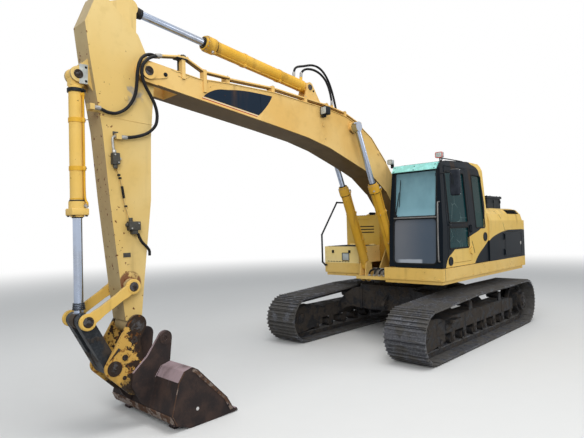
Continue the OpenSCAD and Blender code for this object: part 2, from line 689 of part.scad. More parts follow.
// Boom outline from the foot pin: [distance ahead, height of the lower edge, height of the upper edge]
boom_stations = [[330, 130, 640], [880, 700, 1230], [1300, 960, 1600], [1571, 898 + 160, 1693 + 40],
  [1968, 1180, 1850], [2412, 1315, 1900], [2886, 1410, 1915], [3536, 1490, 1938], [4300, 1575, 1905],
  [4742, 1622, 1870]];
module boom_outline() {
  foot = boom_foot;
  tip = boom_tip - boom_foot;
  translate(foot) {
    circle(r = 145);
    translate(tip) circle(r = 115);
    polygon(concat([[-135, 60], [60, -130]], [for (s = boom_stations) [s[0], s[1]]], [tip + [20, -113], tip + [0, 115]],
      [for (i = [len(boom_stations) - 1:-1:0]) [boom_stations[i][0], boom_stations[i][2]]]));
  }
}
nose_gap = stick_half + 3 + move_gap;
module boom() {
  color(yellow) difference() {
    union() {
      difference() {
        slab(-boom_half, boom_half) boom_outline();
        // Fork for the stick
        slab(-nose_gap, nose_gap) polygon([boom_tip + [-420, -400], boom_tip + [300, -400], boom_tip + [300, 400],
          boom_tip + [-330, 400]]);
      }
      // Bosses of the cylinder eye and of the stick pin
      for (s = [-1, 1]) cross_bar(boom_cyl_eye, 90, s > 0 ? 0 : -lug_y0, s > 0 ? lug_y0 : 0);
      for (s = [-1, 1]) cross_bar(boom_tip, 85, s > 0 ? nose_gap : -boom_half - 25, s > 0 ? boom_half + 25 : -nose_gap);
      cross_bar(boom_tip, pin_r, -boom_half - 20, boom_half + 20);
      // Ears of the stick cylinder
      both_slabs(eye_w / 2 + move_gap, eye_w / 2 + move_gap + 25) {
        translate(stick_cyl_base) circle(r = 75);
        polygon([stick_cyl_base + [-60, 45], stick_cyl_base + [60, 45], stick_cyl_base + [75, -40],
          stick_cyl_base + [160, -330], stick_cyl_base + [-330, -330]]);
      }
      cross_bar(stick_cyl_base, pin_r, -eye_w / 2 - move_gap - 25, eye_w / 2 + move_gap + 25);
    }
    cross_bar(boom_foot, pin_r + pin_gap, -boom_half - 1, boom_half + 1);
  }
}
// Four oil pipes along the boom's back, held by a clamp block at each bend; the outer two rise at the tip
pipe_r = 16;
pipe_lift = 60;
pipe_path = [for (i = [3:8]) boom_foot + [boom_stations[i][0], boom_stations[i][2] + pipe_lift]];
pipe_y = [117, 167];
tip_path = [[4400, 3795], [4770, 3790], [5010, 3885], [5115, 3883], [5330, 3840]];
tip_y = [167, 203];
// Hoses: radius, and the points of each route as [x, y, z]
hose_r = 17;
TIP_UPPER = [[5330, 167, 3840], [5355, 167, 3835], [5388, 167, 3837], [5432, 172, 3838], [5507, 190, 3808],
  [5567, 215, 3757], [5604, 226, 3690], [5620, 226, 3623], [5627, 224, 3560], [5629, 215, 3483], [5634, 200, 3391],
  [5660, 188, 3310], [5710, 178, 3234], [5773, 170, 3180], [5844, 165, 3150], [5920, 165, 3150], [5978, 165, 3168],
  [6020, 165, 3178], [6060, 165, 3178]];
TIP_LOWER = [[5330, 203, 3840], [5355, 203, 3835], [5405, 209, 3816], [5485, 227, 3774], [5548, 250, 3716],
  [5580, 250, 3666], [5589, 250, 3608], [5586, 250, 3562], [5570, 250, 3502], [5529, 235, 3443], [5473, 220, 3376],
  [5425, 207, 3307], [5397, 200, 3232], [5391, 195, 3161], [5408, 190, 3086], [5468, 182, 3015], [5542, 172, 2971],
  [5642, 165, 2938], [5740, 162, 2922], [5790, 162, 2922]];
// The same for the stick cylinder's two hoses, from its unions back to the pipes on the boom
RAM_UPPER = [[2997.14, -35, 4163.99], [2991.87, -35, 4213.71], [2960, -46, 4285], [2905, -56, 4330],
  [2830, -68, 4360], [2740, -80, 4388], [2645, -91, 4420], [2545, -100, 4452], [2440, -108, 4470],
  [2335, -113, 4465], [2235, -116, 4430], [2145, -117, 4360], [2070, -117, 4265], [2010, -117, 4150],
  [1960, -117, 4020], [1925, -117, 3900], [1905, -117, 3800], [1905, -117, 3755]];
RAM_LOWER = [[2917.59, 35, 4155.56], [2912.32, 35, 4205.28], [2880, 44, 4258], [2825, 55, 4290], [2755, 68, 4303],
  [2680, 81, 4302], [2605, 93, 4286], [2530, 103, 4252], [2462, 111, 4200], [2408, 115, 4130], [2366, 117, 4045],
  [2336, 117, 3955], [2318, 117, 3875], [2318, 117, 3830]];
// Blocks on the stick that take the hoses' far ends: [x0, x1, y0, y1, z0, z1]
hose_blocks = [[5790, 5845, 125, 192, 2895, 2950], [6060, 6105, 126, 196, 3150, 3206], [5960, 6105, 110, 127, 3145, 3211]];
// Tube of eight sides along a route that lies nearly in one plane across Y
function heading(p, i) = let(d = p[min(i + 1, len(p) - 1)] - p[max(i - 1, 0)]) d / norm(d);
function rim(p, i, r) = let(t = heading(p, i), n = cross(t, [0, 1, 0]), u = n / norm(n), v = cross(u, t))
  [for (k = [0:7]) p[i] + r * (cos(k * 45) * u + sin(k * 45) * v)];
module tube(p, r) {
  n = len(p);
  polyhedron([for (i = [0:n - 1]) each rim(p, i, r)], concat([[for (k = [7:-1:0]) k]],
    [for (i = [0:n - 2]) for (k = [0:7]) each let(a = 8 * i + k, b = 8 * i + (k + 1) % 8) [[a, b, a + 8], [b, b + 8, a + 8]]],
    [[for (k = [0:7]) 8 * (n - 1) + k]]));
}
module pipe_run(path, y) {
  for (i = [0:len(path) - 2]) {
    d = path[i + 1] - path[i];
    translate([path[i][0], y, path[i][1]]) rotate([0, 90 - atan2(d[1], d[0]), 0]) cylinder(r = pipe_r, h = norm(d));
    if (i > 0) cross_bar(path[i], pipe_r + 3, y - pipe_r - 3, y + pipe_r + 3);
  }
}
module boom_pipes() {
  color(yellow) difference() {
    union() {
      for (s = [-1, 1]) {
        for (y = pipe_y) pipe_run(pipe_path, s * y);
        for (e = pipe_path) translate([e[0] - 25, s * 142 - 50, e[1] - 90]) cube([50, 100, 112]);
      }
      // Two pipes go on over the tip on the left, with a block at each post
      for (y = tip_y) pipe_run(tip_path, y);
      for (e = [tip_path[1], [5060, 3884]])
        translate([e[0] - 22, tip_y[0] - 20, e[1] - 240]) cube([44, tip_y[1] - tip_y[0] + 40, 262]);
      // Unions that the stick cylinder's hoses screw onto
      for (h = [RAM_UPPER, RAM_LOWER]) let(e = h[len(h) - 1])
        translate([e[0], e[1], e[2] - 70]) cylinder(r = hose_r + 5, h = 70);
    }
    translate([0, 0, seat_gap]) slab(-boom_half - 1, boom_half + 1) boom_outline();
  }
}
module boom_lamp() {
  color(black) {
    translate([2640, boom_half, 3560]) cube([70, 60, 40]);
    translate([2620, boom_half + 20, 3600]) cube([110, 110, 120]);
  }
}

neck_l = 105;
// A cylinder's barrel: base pin p, eye pin q, length, radius and the middle's distance y
module barrel(p, q, l, r, y, w) {
  a = atan2(q[1] - p[1], q[0] - p[0]);
  color(bright_yellow) translate([p[0], y, p[1]]) rotate([0, 90 - a, 0]) difference() {
    union() {
      cross_bar([0, 0], 70, -w / 2, w / 2);
      translate([-60, -w / 2, 0]) cube([120, w, neck_l + 1]);
      translate([0, 0, neck_l]) cylinder(r = r, h = l - neck_l);
      translate([0, 0, l - 150]) cylinder(r = r + 14, h = 120);
    }
    cross_bar([0, 0], pin_r + pin_gap, -w / 2 - 1, w / 2 + 1);
    translate([0, 0, neck_l + 40]) cylinder(r = rod_r + 0.3, h = l);
  }
}
// A cylinder's rod from inside the barrel to its eye
module rod(p, q, l, y, w) {
  a = atan2(q[1] - p[1], q[0] - p[0]);
  color(chrome) translate([q[0], y, q[1]]) rotate([0, 90 - a, 0]) {
    translate([0, 0, -l]) cylinder(r = rod_r, h = l - 50);
    cross_bar([0, 0], 78, -w / 2, w / 2);
  }
}
module boom_barrel(s) barrel(boom_cyl_base, boom_cyl_eye, boom_barrel_l, boom_cyl_r, s * boom_cyl_y, eye_w);
module boom_rod(s) rod(boom_cyl_base, boom_cyl_eye, 1600, s * boom_cyl_y, eye_w);

// Stick outline, relative to its pivot: front edge and back edge
stick_front = [[456, 722], [500, 680], [623, 373], [585, 60], [530, -290], [470, -660], [406, -1354], [318, -2140],
  [266, -2560]];
stick_back = [[90, -2560], [50, -2170], [-45, -1342], [-60, -666], [-104, -149], [-100, 60], [-23, 199], [65, 383],
  [364, 642]];
module stick() {
  color(yellow) difference() {
    union() {
      translate(boom_tip[0] * [1, 0, 0] + boom_tip[1] * [0, 0, 1]) slab(-stick_half, stick_half)
        polygon(concat(stick_front, stick_back));
      cross_bar(boom_tip, 110, -stick_half - 3, stick_half + 3);
      cross_bar(bucket_pin, 92, -stick_half + 3, stick_half - 3);
      // Ears of the stick cylinder's eye
      both_slabs(eye_w / 2 + move_gap, eye_w / 2 + move_gap + 25) {
        translate(stick_cyl_eye) circle(r = 80);
        polygon([stick_cyl_eye + [-60, -60], boom_tip + [60, 330], boom_tip + [420, 640], stick_cyl_eye + [40, 70]]);
      }
      // Ears of the bucket cylinder's base
      both_slabs(eye_w / 2 + move_gap, eye_w / 2 + move_gap + 25) {
        translate(bucket_cyl_base) circle(r = 75);
        polygon([bucket_cyl_base + [0, 75], bucket_cyl_base + [0, -75], bucket_cyl_base + [-95, -85],
          bucket_cyl_base + [-150, -160], bucket_cyl_base + [-150, 230]]);
      }
      cross_bar(bucket_cyl_base, pin_r, -eye_w / 2 - move_gap - 25, eye_w / 2 + move_gap + 25);
      for (b = hose_blocks) translate([b[0], b[2], b[4]]) cube([b[1] - b[0], b[3] - b[2], b[5] - b[4]]);
      cross_bar(link_pin, pin_r, -link_y - link_t, link_y + link_t);
      cross_bar(link_pin, 80, 1 - link_y, link_y - 1);
      cross_bar(bucket_pin, pin_r, -coupler_y - coupler_t - 2, coupler_y + coupler_t + 2);
    }
    cross_bar(boom_tip, pin_r + pin_gap, -stick_half - 4, stick_half + 4);
  }
}
// The stick cylinder's barrel has two unions on its back, [distance from the base pin, y]
ram_ports = [[160, 35], [240, -35]];
module stick_barrel() {
  a = atan2(stick_cyl_eye[1] - stick_cyl_base[1], stick_cyl_eye[0] - stick_cyl_base[0]);
  barrel(stick_cyl_base, stick_cyl_eye, stick_barrel_l, stick_cyl_r, 0, eye_w);
  color(bright_yellow) for (p = ram_ports)
    translate([stick_cyl_base[0], p[1], stick_cyl_base[1]]) rotate([0, -a, 0]) translate([p[0], 0, stick_cyl_r - 22])
      cylinder(r = hose_r + 5, h = 47);
}
module stick_rod() rod(stick_cyl_base, stick_cyl_eye, 1660, 0, eye_w);
module bucket_barrel() barrel(bucket_cyl_base, link_eye, bucket_barrel_l, bucket_cyl_r, 0, eye_w);
module bucket_rod() rod(bucket_cyl_base, link_eye, 1480, 0, eye_w);

coupler_y = stick_half + 3 + move_gap;
coupler_t = 30;
link_y = coupler_y + coupler_t + move_gap;
link_t = 30;
module side_links() {
  color(bright_yellow) for (s = [-1, 1]) difference() {
    slab(s > 0 ? link_y : -link_y - link_t, s > 0 ? link_y + link_t : -link_y) {
      strap(link_pin, link_eye, 78, 82);
    }
    cross_bar(link_pin, pin_r + pin_gap, s > 0 ? link_y - 1 : -link_y - link_t - 1,
      s > 0 ? link_y + link_t + 1 : -link_y + 1);
  }
}
fork_y = eye_w / 2 + move_gap;
module h_link() {
  color(black) difference() {
    union() {
      for (s = [-1, 1]) slab(s > 0 ? fork_y : move_gap - coupler_y, s > 0 ? coupler_y - move_gap : -fork_y)
        strap(link_eye, bucket_link_pin, 70, 72);
      slab(-fork_y - 1, fork_y + 1) strap((link_eye + 2 * bucket_link_pin) / 3, bucket_link_pin, 60, 72);
    }
    cross_bar(bucket_link_pin, pin_r + pin_gap, -link_y, link_y);
  }
}
bucket_mount = [5560, 470];
module coupler() {
  color(yellow) {
    for (s = [-1, 1]) difference() {
      slab(s > 0 ? coupler_y : -coupler_y - coupler_t, s > 0 ? coupler_y + coupler_t : -coupler_y) {
        strap(bucket_pin, bucket_link_pin, 100, 95);
        strap(bucket_link_pin, [5700, 420], 95, 80);
        polygon([bucket_pin, bucket_link_pin, [5700, 420], bucket_mount]);
      }
      cross_bar(bucket_pin, pin_r + pin_gap, s > 0 ? coupler_y - 1 : -coupler_y - coupler_t - 1,
        s > 0 ? coupler_y + coupler_t + 1 : -coupler_y + 1);
    }
    cross_bar(bucket_link_pin, pin_r, -coupler_y - coupler_t, coupler_y + coupler_t);
    cross_bar([5640, 520], 60, -coupler_y - 1, coupler_y + 1);
  }
}

// Bucket side outline in the X-Z plane, from the lip up the mouth and round the back
bucket_side = [[4723, 12], [4790, 60], [4866, 190], [5230, 560], [5300, 600], [5400, 575], [5468, 480], [5548, 175],
  [5500, 70], [5327, 4], [5000, 4]];
bucket_back = [[4723, 12], [4740, 45], [5010, 40], [5310, 45], [5462, 105], [5500, 185], [5428, 465], [5375, 535],
  [5300, 555], [5250, 520], [5230, 560], [5300, 600], [5400, 575], [5468, 480], [5548, 175], [5500, 70], [5327, 4],
  [5000, 4]];
module bucket() {
  color(rust) {
    slab(-bucket_w / 2, bucket_w / 2) polygon(bucket_back);
    both_slabs(bucket_w / 2 - bucket_t, bucket_w / 2) polygon(bucket_side);
    // Ears that hook over the coupler
    both_slabs(coupler_y + coupler_t + seat_gap, coupler_y + coupler_t + 30) {
      translate([5352, 847]) circle(r = 80);
      polygon([[5500, 120], [5400, 575], [5300, 600], [5274, 830], [5420, 890], [5560, 700], [5720, 560], [5740, 430],
        [5640, 250]]);
    }
  }
}

carbody();
swing_ring();
for (side = [-1, 1]) track_frame(side);  // track_frames
for (side = [-1, 1]) rollers(side);
for (side = [-1, 1]) drive(side);  // drives
track(1);  // track_left
track(-1);  // track_right
swing_frame();
skirts();
counterweight();
engine_block();
body_shell();
engine_hood();
service_door(1);  // service_door_left
service_door(-1);  // service_door_right
fuel_tank();
toolbox();
toolbox_lid();
handrail();
air_cleaner();
cab_shell();
cab_door();
cab_glass();
door_glass();
sun_visor();
cab_lamps();
side_mirror();  // mirror
seat_frame();
seat_cushions();
cab_controls();
color(black) tube(TIP_UPPER, hose_r);  // tip_hose_upper
color(black) tube(TIP_LOWER, hose_r);  // tip_hose_lower
color(black) tube(RAM_UPPER, hose_r);  // ram_hose_upper
color(black) tube(RAM_LOWER, hose_r);  // ram_hose_lower
boom();
boom_pipes();
boom_lamp();
boom_barrel(1);  // boom_barrel_left
boom_barrel(-1);  // boom_barrel_right
boom_rod(1);  // boom_rod_left
boom_rod(-1);  // boom_rod_right
stick();
stick_barrel();
stick_rod();
bucket_barrel();
bucket_rod();
side_links();
h_link();
coupler();
bucket();
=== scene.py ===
# %% [markdown]
# A crawler excavator, dressed for its portrait.
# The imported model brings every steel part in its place, in metres: +X ahead, +Y to the machine's left, +Z up.
# This script adds what a maker bolts, welds, paints and hoses onto it, and the weather that eight thousand hours leave.
# Each cell first says what a thing is on the real machine, then makes it.

# %% Load the frame
import bpy
import bmesh
import math
from mathutils import Matrix, Vector


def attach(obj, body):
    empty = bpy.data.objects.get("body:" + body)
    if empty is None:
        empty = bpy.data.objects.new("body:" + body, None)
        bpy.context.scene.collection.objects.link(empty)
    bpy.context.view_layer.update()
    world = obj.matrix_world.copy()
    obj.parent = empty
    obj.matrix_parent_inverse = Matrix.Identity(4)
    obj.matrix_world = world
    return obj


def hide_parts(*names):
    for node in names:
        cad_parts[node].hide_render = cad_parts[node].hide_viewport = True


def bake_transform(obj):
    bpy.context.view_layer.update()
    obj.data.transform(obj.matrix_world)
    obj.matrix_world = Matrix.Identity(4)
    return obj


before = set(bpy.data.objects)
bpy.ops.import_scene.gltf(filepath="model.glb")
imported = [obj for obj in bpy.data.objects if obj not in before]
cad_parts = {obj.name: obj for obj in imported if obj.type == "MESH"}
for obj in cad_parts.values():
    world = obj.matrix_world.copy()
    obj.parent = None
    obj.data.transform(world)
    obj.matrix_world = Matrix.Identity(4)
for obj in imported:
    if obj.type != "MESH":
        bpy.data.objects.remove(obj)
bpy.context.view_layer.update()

# %% [markdown]
# The camera comes first, because hoses may not wander out of its view.
# It could be aimed with a Track To constraint, but a photograph's camera also leans a little.
# So its direction is worked out from a heading, a pitch and a roll, and put in one matrix.

# %% Camera
def photo_camera(place, heading, pitch, roll, focal_px, width_px=584):
    a, p, r = math.radians(heading), math.radians(pitch), math.radians(roll)
    back = Vector((math.sin(a) * math.cos(p), -math.cos(a) * math.cos(p), math.sin(p)))
    right = (-back).cross(Vector((0, 0, 1))).normalized()
    up = right.cross(-back)
    side = right * math.cos(r) + up * math.sin(r)
    top = up * math.cos(r) - right * math.sin(r)
    data = bpy.data.cameras.new("photo_camera")
    data.sensor_width = 36.0
    data.lens = focal_px / width_px * 36.0
    camera = bpy.data.objects.new("photo_camera", data)
    turn = Matrix((side, top, back)).transposed().to_4x4()
    camera.matrix_world = Matrix.Translation(place) @ turn
    bpy.context.scene.collection.objects.link(camera)
    bpy.context.scene.camera = camera
    return camera

camera = photo_camera((8.143692, 4.713401, 1.951796), 133.351, -1.214, -1.554, 485.354)
print("lens", round(camera.data.lens, 2), "mm")

# %% [markdown]
# Shader maths reads best as ordinary arithmetic.
# A small class wraps one socket, and each operator on it adds the Math node that does the sum.
# A second class holds one material and makes every other node with a single method.

# %% Shader helpers
class Wire:
    """One output socket of a material. Arithmetic on it adds Math nodes."""
    def __init__(self, finish, socket):
        self.finish, self.socket = finish, socket

    def math(self, operation, *others):
        node = self.finish.add("ShaderNodeMath", {"operation": operation})
        for slot, value in enumerate((self,) + others):
            self.finish.feed(node, slot, value)
        return Wire(self.finish, node.outputs[0])

    def __add__(self, other): return self.math("ADD", other)
    def __radd__(self, other): return self.math("ADD", other)
    def __sub__(self, other): return self.math("SUBTRACT", other)
    def __rsub__(self, other): return (self * -1.0).math("ADD", other)
    def __mul__(self, other): return self.math("MULTIPLY", other)
    def __lt__(self, other): return self.math("LESS_THAN", other)
    def __gt__(self, other): return self.math("GREATER_THAN", other)
    def clamp(self): return self.math("MINIMUM", 1.0).math("MAXIMUM", 0.0)

class Finish:
    """One material with its Principled shader, and the nodes that vary it."""
    def __init__(self, name, **sockets):
        self.material = bpy.data.materials.new(name)
        self.material.use_nodes = True
        self.tree = self.material.node_tree
        self.tree.nodes.clear()
        self.shader = self.add("ShaderNodeBsdfPrincipled", {})
        self.output = self.add("ShaderNodeOutputMaterial", {})
        self.tree.links.new(self.shader.outputs[0], self.output.inputs[0])
        self.spot = self.get("ShaderNodeTexCoord", {}, "Object")
        for key, value in sockets.items():
            self.feed(self.shader, key.replace("_", " "), value)

    def add(self, kind, settings):
        node = self.tree.nodes.new(kind)
        for key, value in settings.items():
            if key == "bend":
                curve = node.mapping.curves[0]
                for place in value[1:-1]:
                    curve.points.new(*place)
                curve.points[0].location = value[0]
                curve.points[-1].location = value[-1]
                node.mapping.update()
            else:
                setattr(node, key, value)
        return node

    def feed(self, node, slot, value):
        if isinstance(value, Wire):
            self.tree.links.new(value.socket, node.inputs[slot])
        elif isinstance(value, tuple) and len(value) == 3 and node.inputs[slot].type == "RGBA":
            node.inputs[slot].default_value = (*value, 1.0)
        else:
            node.inputs[slot].default_value = value

    def get(self, kind, settings, output=0, **sockets):
        node = self.add(kind, settings)
        for slot, value in sockets.items():
            self.feed(node, slot.replace("_", " "), value)
        return Wire(self, node.outputs[output])

    def axis(self, name):
        return self.get("ShaderNodeSeparateXYZ", {}, name, Vector=self.spot)

    def facing(self, name):
        """How far the surface itself faces along an axis; it stays with the part when a joint turns it."""
        return self.get("ShaderNodeSeparateXYZ", {}, name, Vector=self.get("ShaderNodeTexCoord", {}, "Normal"))

    def grain(self, scale, detail=3.0, stretch=(1, 1, 1), rough=0.55):
        place = self.get("ShaderNodeMapping", {}, 0, Vector=self.spot, Scale=stretch)
        return self.get("ShaderNodeTexNoise", {}, "Fac", Vector=place, Scale=scale, Detail=detail, Roughness=rough)

    def cells(self, scale, feature="F1"):
        return self.get("ShaderNodeTexVoronoi", {"feature": feature}, "Distance", Vector=self.spot, Scale=scale)

    def fade(self, value, low, high):
        """0 below low, 1 above high, smooth between."""
        node = self.add("ShaderNodeMapRange", {"interpolation_type": "SMOOTHSTEP"})
        for slot, item in ((0, value), (1, low), (2, high)):
            self.feed(node, slot, item)
        return Wire(self, node.outputs[0])

    def mix(self, amount, first, second):
        node = self.add("ShaderNodeMix", {"data_type": "RGBA"})
        for slot, item in ((0, amount), (6, first), (7, second)):
            self.feed(node, slot, item)
        return Wire(self, node.outputs[2])

    def bump(self, height, distance):
        lift = self.get("ShaderNodeBump", {}, 0, Height=height, Distance=distance, Strength=1.0)
        self.feed(self.shader, "Normal", lift)

    def use(self, **sockets):
        for slot, value in sockets.items():
            self.feed(self.shader, slot.replace("_", " "), value)
        return self

print("shader helpers ready")

# %% [markdown]
# Machine enamel outdoors fades in patches, runs with rain streaks, chips to primer and rust, and gathers dust on top.
# Each of those is one mask from a noise or from the surface's direction, and the coats lie over each other in order.
# One recipe with a few numbers then serves the boom, the stick, the house and the cylinders, each in its own shade.

# %% Weathered enamel
RUST = (0.085, 0.032, 0.014)
DUST = (0.33, 0.26, 0.18)
GRIME = (0.055, 0.042, 0.03)

def enamel(name, shade, faded, chips=0.72, streaks=0.45, dust=0.5, rough=0.42, mask=None, low_mud=None):
    f = Finish(name, Metallic=0.0, Specular_IOR_Level=0.06)
    patches = f.fade(f.grain(0.9, 3.0), 0.35, 0.68)
    coat = f.mix(patches * 0.8, shade, faded)
    coat = f.mix(f.fade(f.grain(7.0, 5.0), 0.48, 0.8) * 0.3, coat, tuple(0.72 * c for c in shade))
    if mask:
        coat = mask(f, coat)
    runs = f.fade(f.grain(1.0, 5.0, (7.0, 7.0, 0.55)), 0.52, 0.74) * f.fade(f.grain(1.3, 2.0), 0.4, 0.65)
    coat = f.mix(runs * streaks, coat, (0.17, 0.085, 0.03))
    settled = f.fade(f.facing("Z"), 0.35, 0.9) * f.fade(f.grain(5.0, 4.0), 0.3, 0.62)
    coat = f.mix(settled * dust, coat, DUST)
    worn = f.fade(f.grain(24.0, 6.0, rough=0.62) + f.grain(2.2, 2.0) * 0.35, chips + 0.165, chips + 0.185)
    if low_mud:
        splash = f.fade(f.grain(9.0, 5.0) * 0.55 + (low_mud - f.axis("Z")) * 1.1, 0.25, 0.6)
        coat = f.mix(splash * 0.85, coat, GRIME)
    coat = f.mix(worn, coat, RUST)
    f.use(Base_Color=coat, Roughness=rough + worn * 0.35 + settled * 0.3 + runs * 0.12)
    f.bump(f.grain(55.0, 2.0) * 0.1 - worn * 0.8, 0.0016)
    return f

def line_under(f, points, low, high):
    """1 where Z lies under a curve drawn over X between low and high."""
    x = f.get("ShaderNodeMapRange", {}, 0, Value=f.axis("X"), From_Min=low, From_Max=high)
    bend = [((px - low) / (high - low), pz / 4.0) for px, pz in points]
    height = f.get("ShaderNodeFloatCurve", {"bend": bend}, 0, Value=x)
    return f.fade(height * 4.0 - f.axis("Z"), -0.002, 0.002)

# %% [markdown]
# The cab is black, and a curved yellow panel climbs from its sill to the rear pillar.
# The colours could be two sheets of geometry, but on the machine they are paint on one shell.
# So the curve lives in the material: a Float Curve gives its height for every X, and a second one runs up the pillar.

# %% Two-colour cab and side panels
BLACK = (0.006, 0.01, 0.015)
HOUSE = (0.8, 0.53, 0.125)
PANEL_CURVE = [(-0.6, 2.02), (-0.255, 1.919), (-0.134, 1.866), (0.304, 1.752), (0.711, 1.63), (0.944, 1.527),
               (1.134, 1.407), (1.197, 1.284), (1.3, 1.1)]
PILLAR_CURVE = [(1.8, -0.22), (1.95, -0.3), (2.2, -0.395), (2.6, -0.375), (2.8, -0.335), (2.93, -0.26), (3.0, -0.02),
                (3.1, 0.1)]
SWOOSH = [(-2.4, 1.817), (-1.139, 1.808), (-0.953, 1.782), (-0.547, 1.689), (-0.299, 1.57), (0.005, 1.406),
          (0.125, 1.3), (0.2, 1.2)]

def cab_colours(f, coat):
    side = f.axis("Y") > 1.19
    panel = line_under(f, PANEL_CURVE, -0.6, 1.3)
    z = f.get("ShaderNodeMapRange", {}, 0, Value=f.axis("Z"), From_Min=1.8, From_Max=3.1)
    bend = [((pz - 1.8) / 1.3, px + 1.0) for pz, px in PILLAR_CURVE]
    pillar = f.get("ShaderNodeFloatCurve", {"bend": bend}, 0, Value=z) - 1.0
    pillar = f.fade(pillar - f.axis("X"), -0.002, 0.002)
    bright = (panel + pillar).clamp() * side + (f.axis("X") < -0.445)
    return f.mix(bright.clamp(), BLACK, f.mix(swoosh_area(f), coat, BLACK))

def swoosh_area(f):
    return line_under(f, SWOOSH, -2.4, 0.2) * (f.axis("Z") > 1.292)

def side_colours(f, coat):
    flank = f.axis("Y").math("ABSOLUTE") > 1.2
    return f.mix(swoosh_area(f) * flank, coat, BLACK)

# %% [markdown]
# The boom carries a dark painted panel with a red and a white pinstripe under it, left bare of any word.
# Its outline is cut out of the paint with three lines and one curve over the boom's flank.

# %% Boom panel and stripes
PANEL_TOP = [(3.6, 3.7), (3.76, 3.701), (3.901, 3.697), (4.156, 3.685), (4.402, 3.651), (4.652, 3.595),
             (4.817, 3.476), (4.9, 3.36)]

def boom_colours(f, coat):
    x, z = f.axis("X"), f.axis("Z")
    flank = f.axis("Y").math("ABSOLUTE") > 0.19
    above = z - (3.388 + (x - 3.964) * 0.1035)
    rear = x - (3.687 + (3.694 - z) * 0.905 - ((z - 3.388) * (3.694 - z)) * 1.2)
    inside = line_under(f, PANEL_TOP, 3.6, 4.9) * f.fade(rear, -0.002, 0.002) * flank
    panel = inside * f.fade(above, 0.028, 0.031)
    white = inside * f.fade(above, 0.014, 0.017) * (1.0 - f.fade(above, 0.022, 0.025))
    red = inside * f.fade(above, 0.0, 0.003) * (1.0 - f.fade(above, 0.011, 0.014))
    coat = f.mix(panel, coat, (0.008, 0.018, 0.034))
    coat = f.mix(white, coat, (0.72, 0.66, 0.55))
    shadow = f.fade(x * -1.0 + z * 0.35, -1.6, -0.2) * f.fade(x, 1.2, 2.2)
    coat = f.mix(red, coat, (0.42, 0.05, 0.03))
    coat = f.mix(shadow * 0.22, coat, (0.47, 0.25, 0.06))
    # Faces that look down turn a mottled dark brown: this is painted shade under the boom.
    underside_shade = f.fade(f.facing("Z"), -0.25, -0.75)
    return f.mix(underside_shade * 0.9, coat, f.mix(f.grain(5.0, 5.0), (0.05, 0.032, 0.016), (0.16, 0.1, 0.045)))

def stick_colours(f, coat):
    x, z, fine = f.axis("X"), f.axis("Z"), f.grain(26.0, 4.0) * 0.05
    face = f.fade(f.facing("X"), 0.4, 0.8)
    coat = f.mix(face * 0.62, coat, f.mix(f.grain(6.0, 5.0), (0.17, 0.13, 0.1), (0.4, 0.34, 0.22)))
    near_x, near_z = ((value - middle).math("ABSOLUTE") + fine for value, middle in ((x, 5.6), (z, 3.37)))
    patch = f.fade(near_x, 0.125, 0.105) * f.fade(near_z, 0.125, 0.105)
    coat = f.mix(patch * f.fade(f.grain(9.0, 4.0), 0.4, 0.6) * 0.75, coat, (0.3, 0.3, 0.3))
    edge = f.fade(x - (6.02 + (z - 3.2) * 0.165), -0.16, 0.0)
    dx, dz = x - 5.7, z - 1.45
    overspray = f.fade(dx * dx + dz * dz, 0.017, 0.012) * f.fade(f.grain(9.0, 3.0), 0.4, 0.5)
    coat = f.mix(overspray * f.fade(f.facing("Y"), 0.4, 0.6) * 0.85, coat, (0.12, 0.028, 0.026))
    spots = f.fade(f.grain(20.0, 4.0) + edge * 0.085, 0.725, 0.745)
    return f.mix(spots, coat, (0.16, 0.055, 0.022))

def coupler_colours(f, coat):
    x, z = f.axis("X"), f.axis("Z")
    bare = f.grain(13.0, 6.0, rough=0.62) + (x * -1.0 + 5.7) * 1.1
    bare = bare + f.fade(z, 0.98, 1.1) * 0.3 + f.fade(z, 0.62, 0.42) * 0.1
    steel = f.mix(f.grain(30.0, 4.0), (0.016, 0.014, 0.013), (0.06, 0.036, 0.024))
    coat = f.mix(f.fade(bare, 0.455, 0.49), coat, steel)
    return f.mix(f.fade(f.grain(22.0, 5.0), 0.56, 0.61) * 0.8, coat, (0.2, 0.075, 0.02))

house_paint = enamel("house_paint", HOUSE, (0.86, 0.6, 0.19), 0.74, mask=side_colours)
cab_paint = enamel("cab_paint", HOUSE, (0.86, 0.6, 0.19), 0.75, streaks=0.25, dust=0.06, rough=0.45, mask=cab_colours)
boom_paint = enamel("boom_paint", (0.76, 0.47, 0.14), (0.83, 0.58, 0.23), 0.725, mask=boom_colours)
stick_paint = enamel("stick_paint", (0.7, 0.48, 0.16), (0.76, 0.58, 0.26), 0.735, streaks=0.35, mask=stick_colours)
ram_paint = enamel("ram_paint", (0.72, 0.39, 0.035), (0.8, 0.5, 0.1), 0.7, streaks=0.6)
link_paint = enamel("link_paint", (0.78, 0.5, 0.12), (0.84, 0.58, 0.2), 0.69)
worn_paint = enamel("worn_paint", (0.62, 0.36, 0.08), (0.66, 0.44, 0.15), 0.66, streaks=0.9, dust=0.4,
                    mask=coupler_colours, low_mud=0.62)
tank_paint = enamel("tank_paint", (0.64, 0.4, 0.07), (0.72, 0.5, 0.15), 0.71, streaks=0.6)
# The toolbox's yellow is lighter than the house paint and raised further for the light on its front: partly its own
# shade, partly painted light.
box_paint_lit = enamel("box_paint_lit", (0.98, 0.76, 0.31), (0.98, 0.8, 0.4), 0.74, streaks=0.15, dust=0.3)
skirt_paint = enamel("skirt_paint", (0.82, 0.53, 0.14), (0.88, 0.62, 0.22), 0.7, streaks=0.6, low_mud=0.95)
print("enamels:", len(bpy.data.materials))

# %% [markdown]
# The steel below the deck is bare where it rubs and caked where it does not.
# Two noises decide it: a large one for the cake of mud, and a fine one for the metal that shines through on the edges.

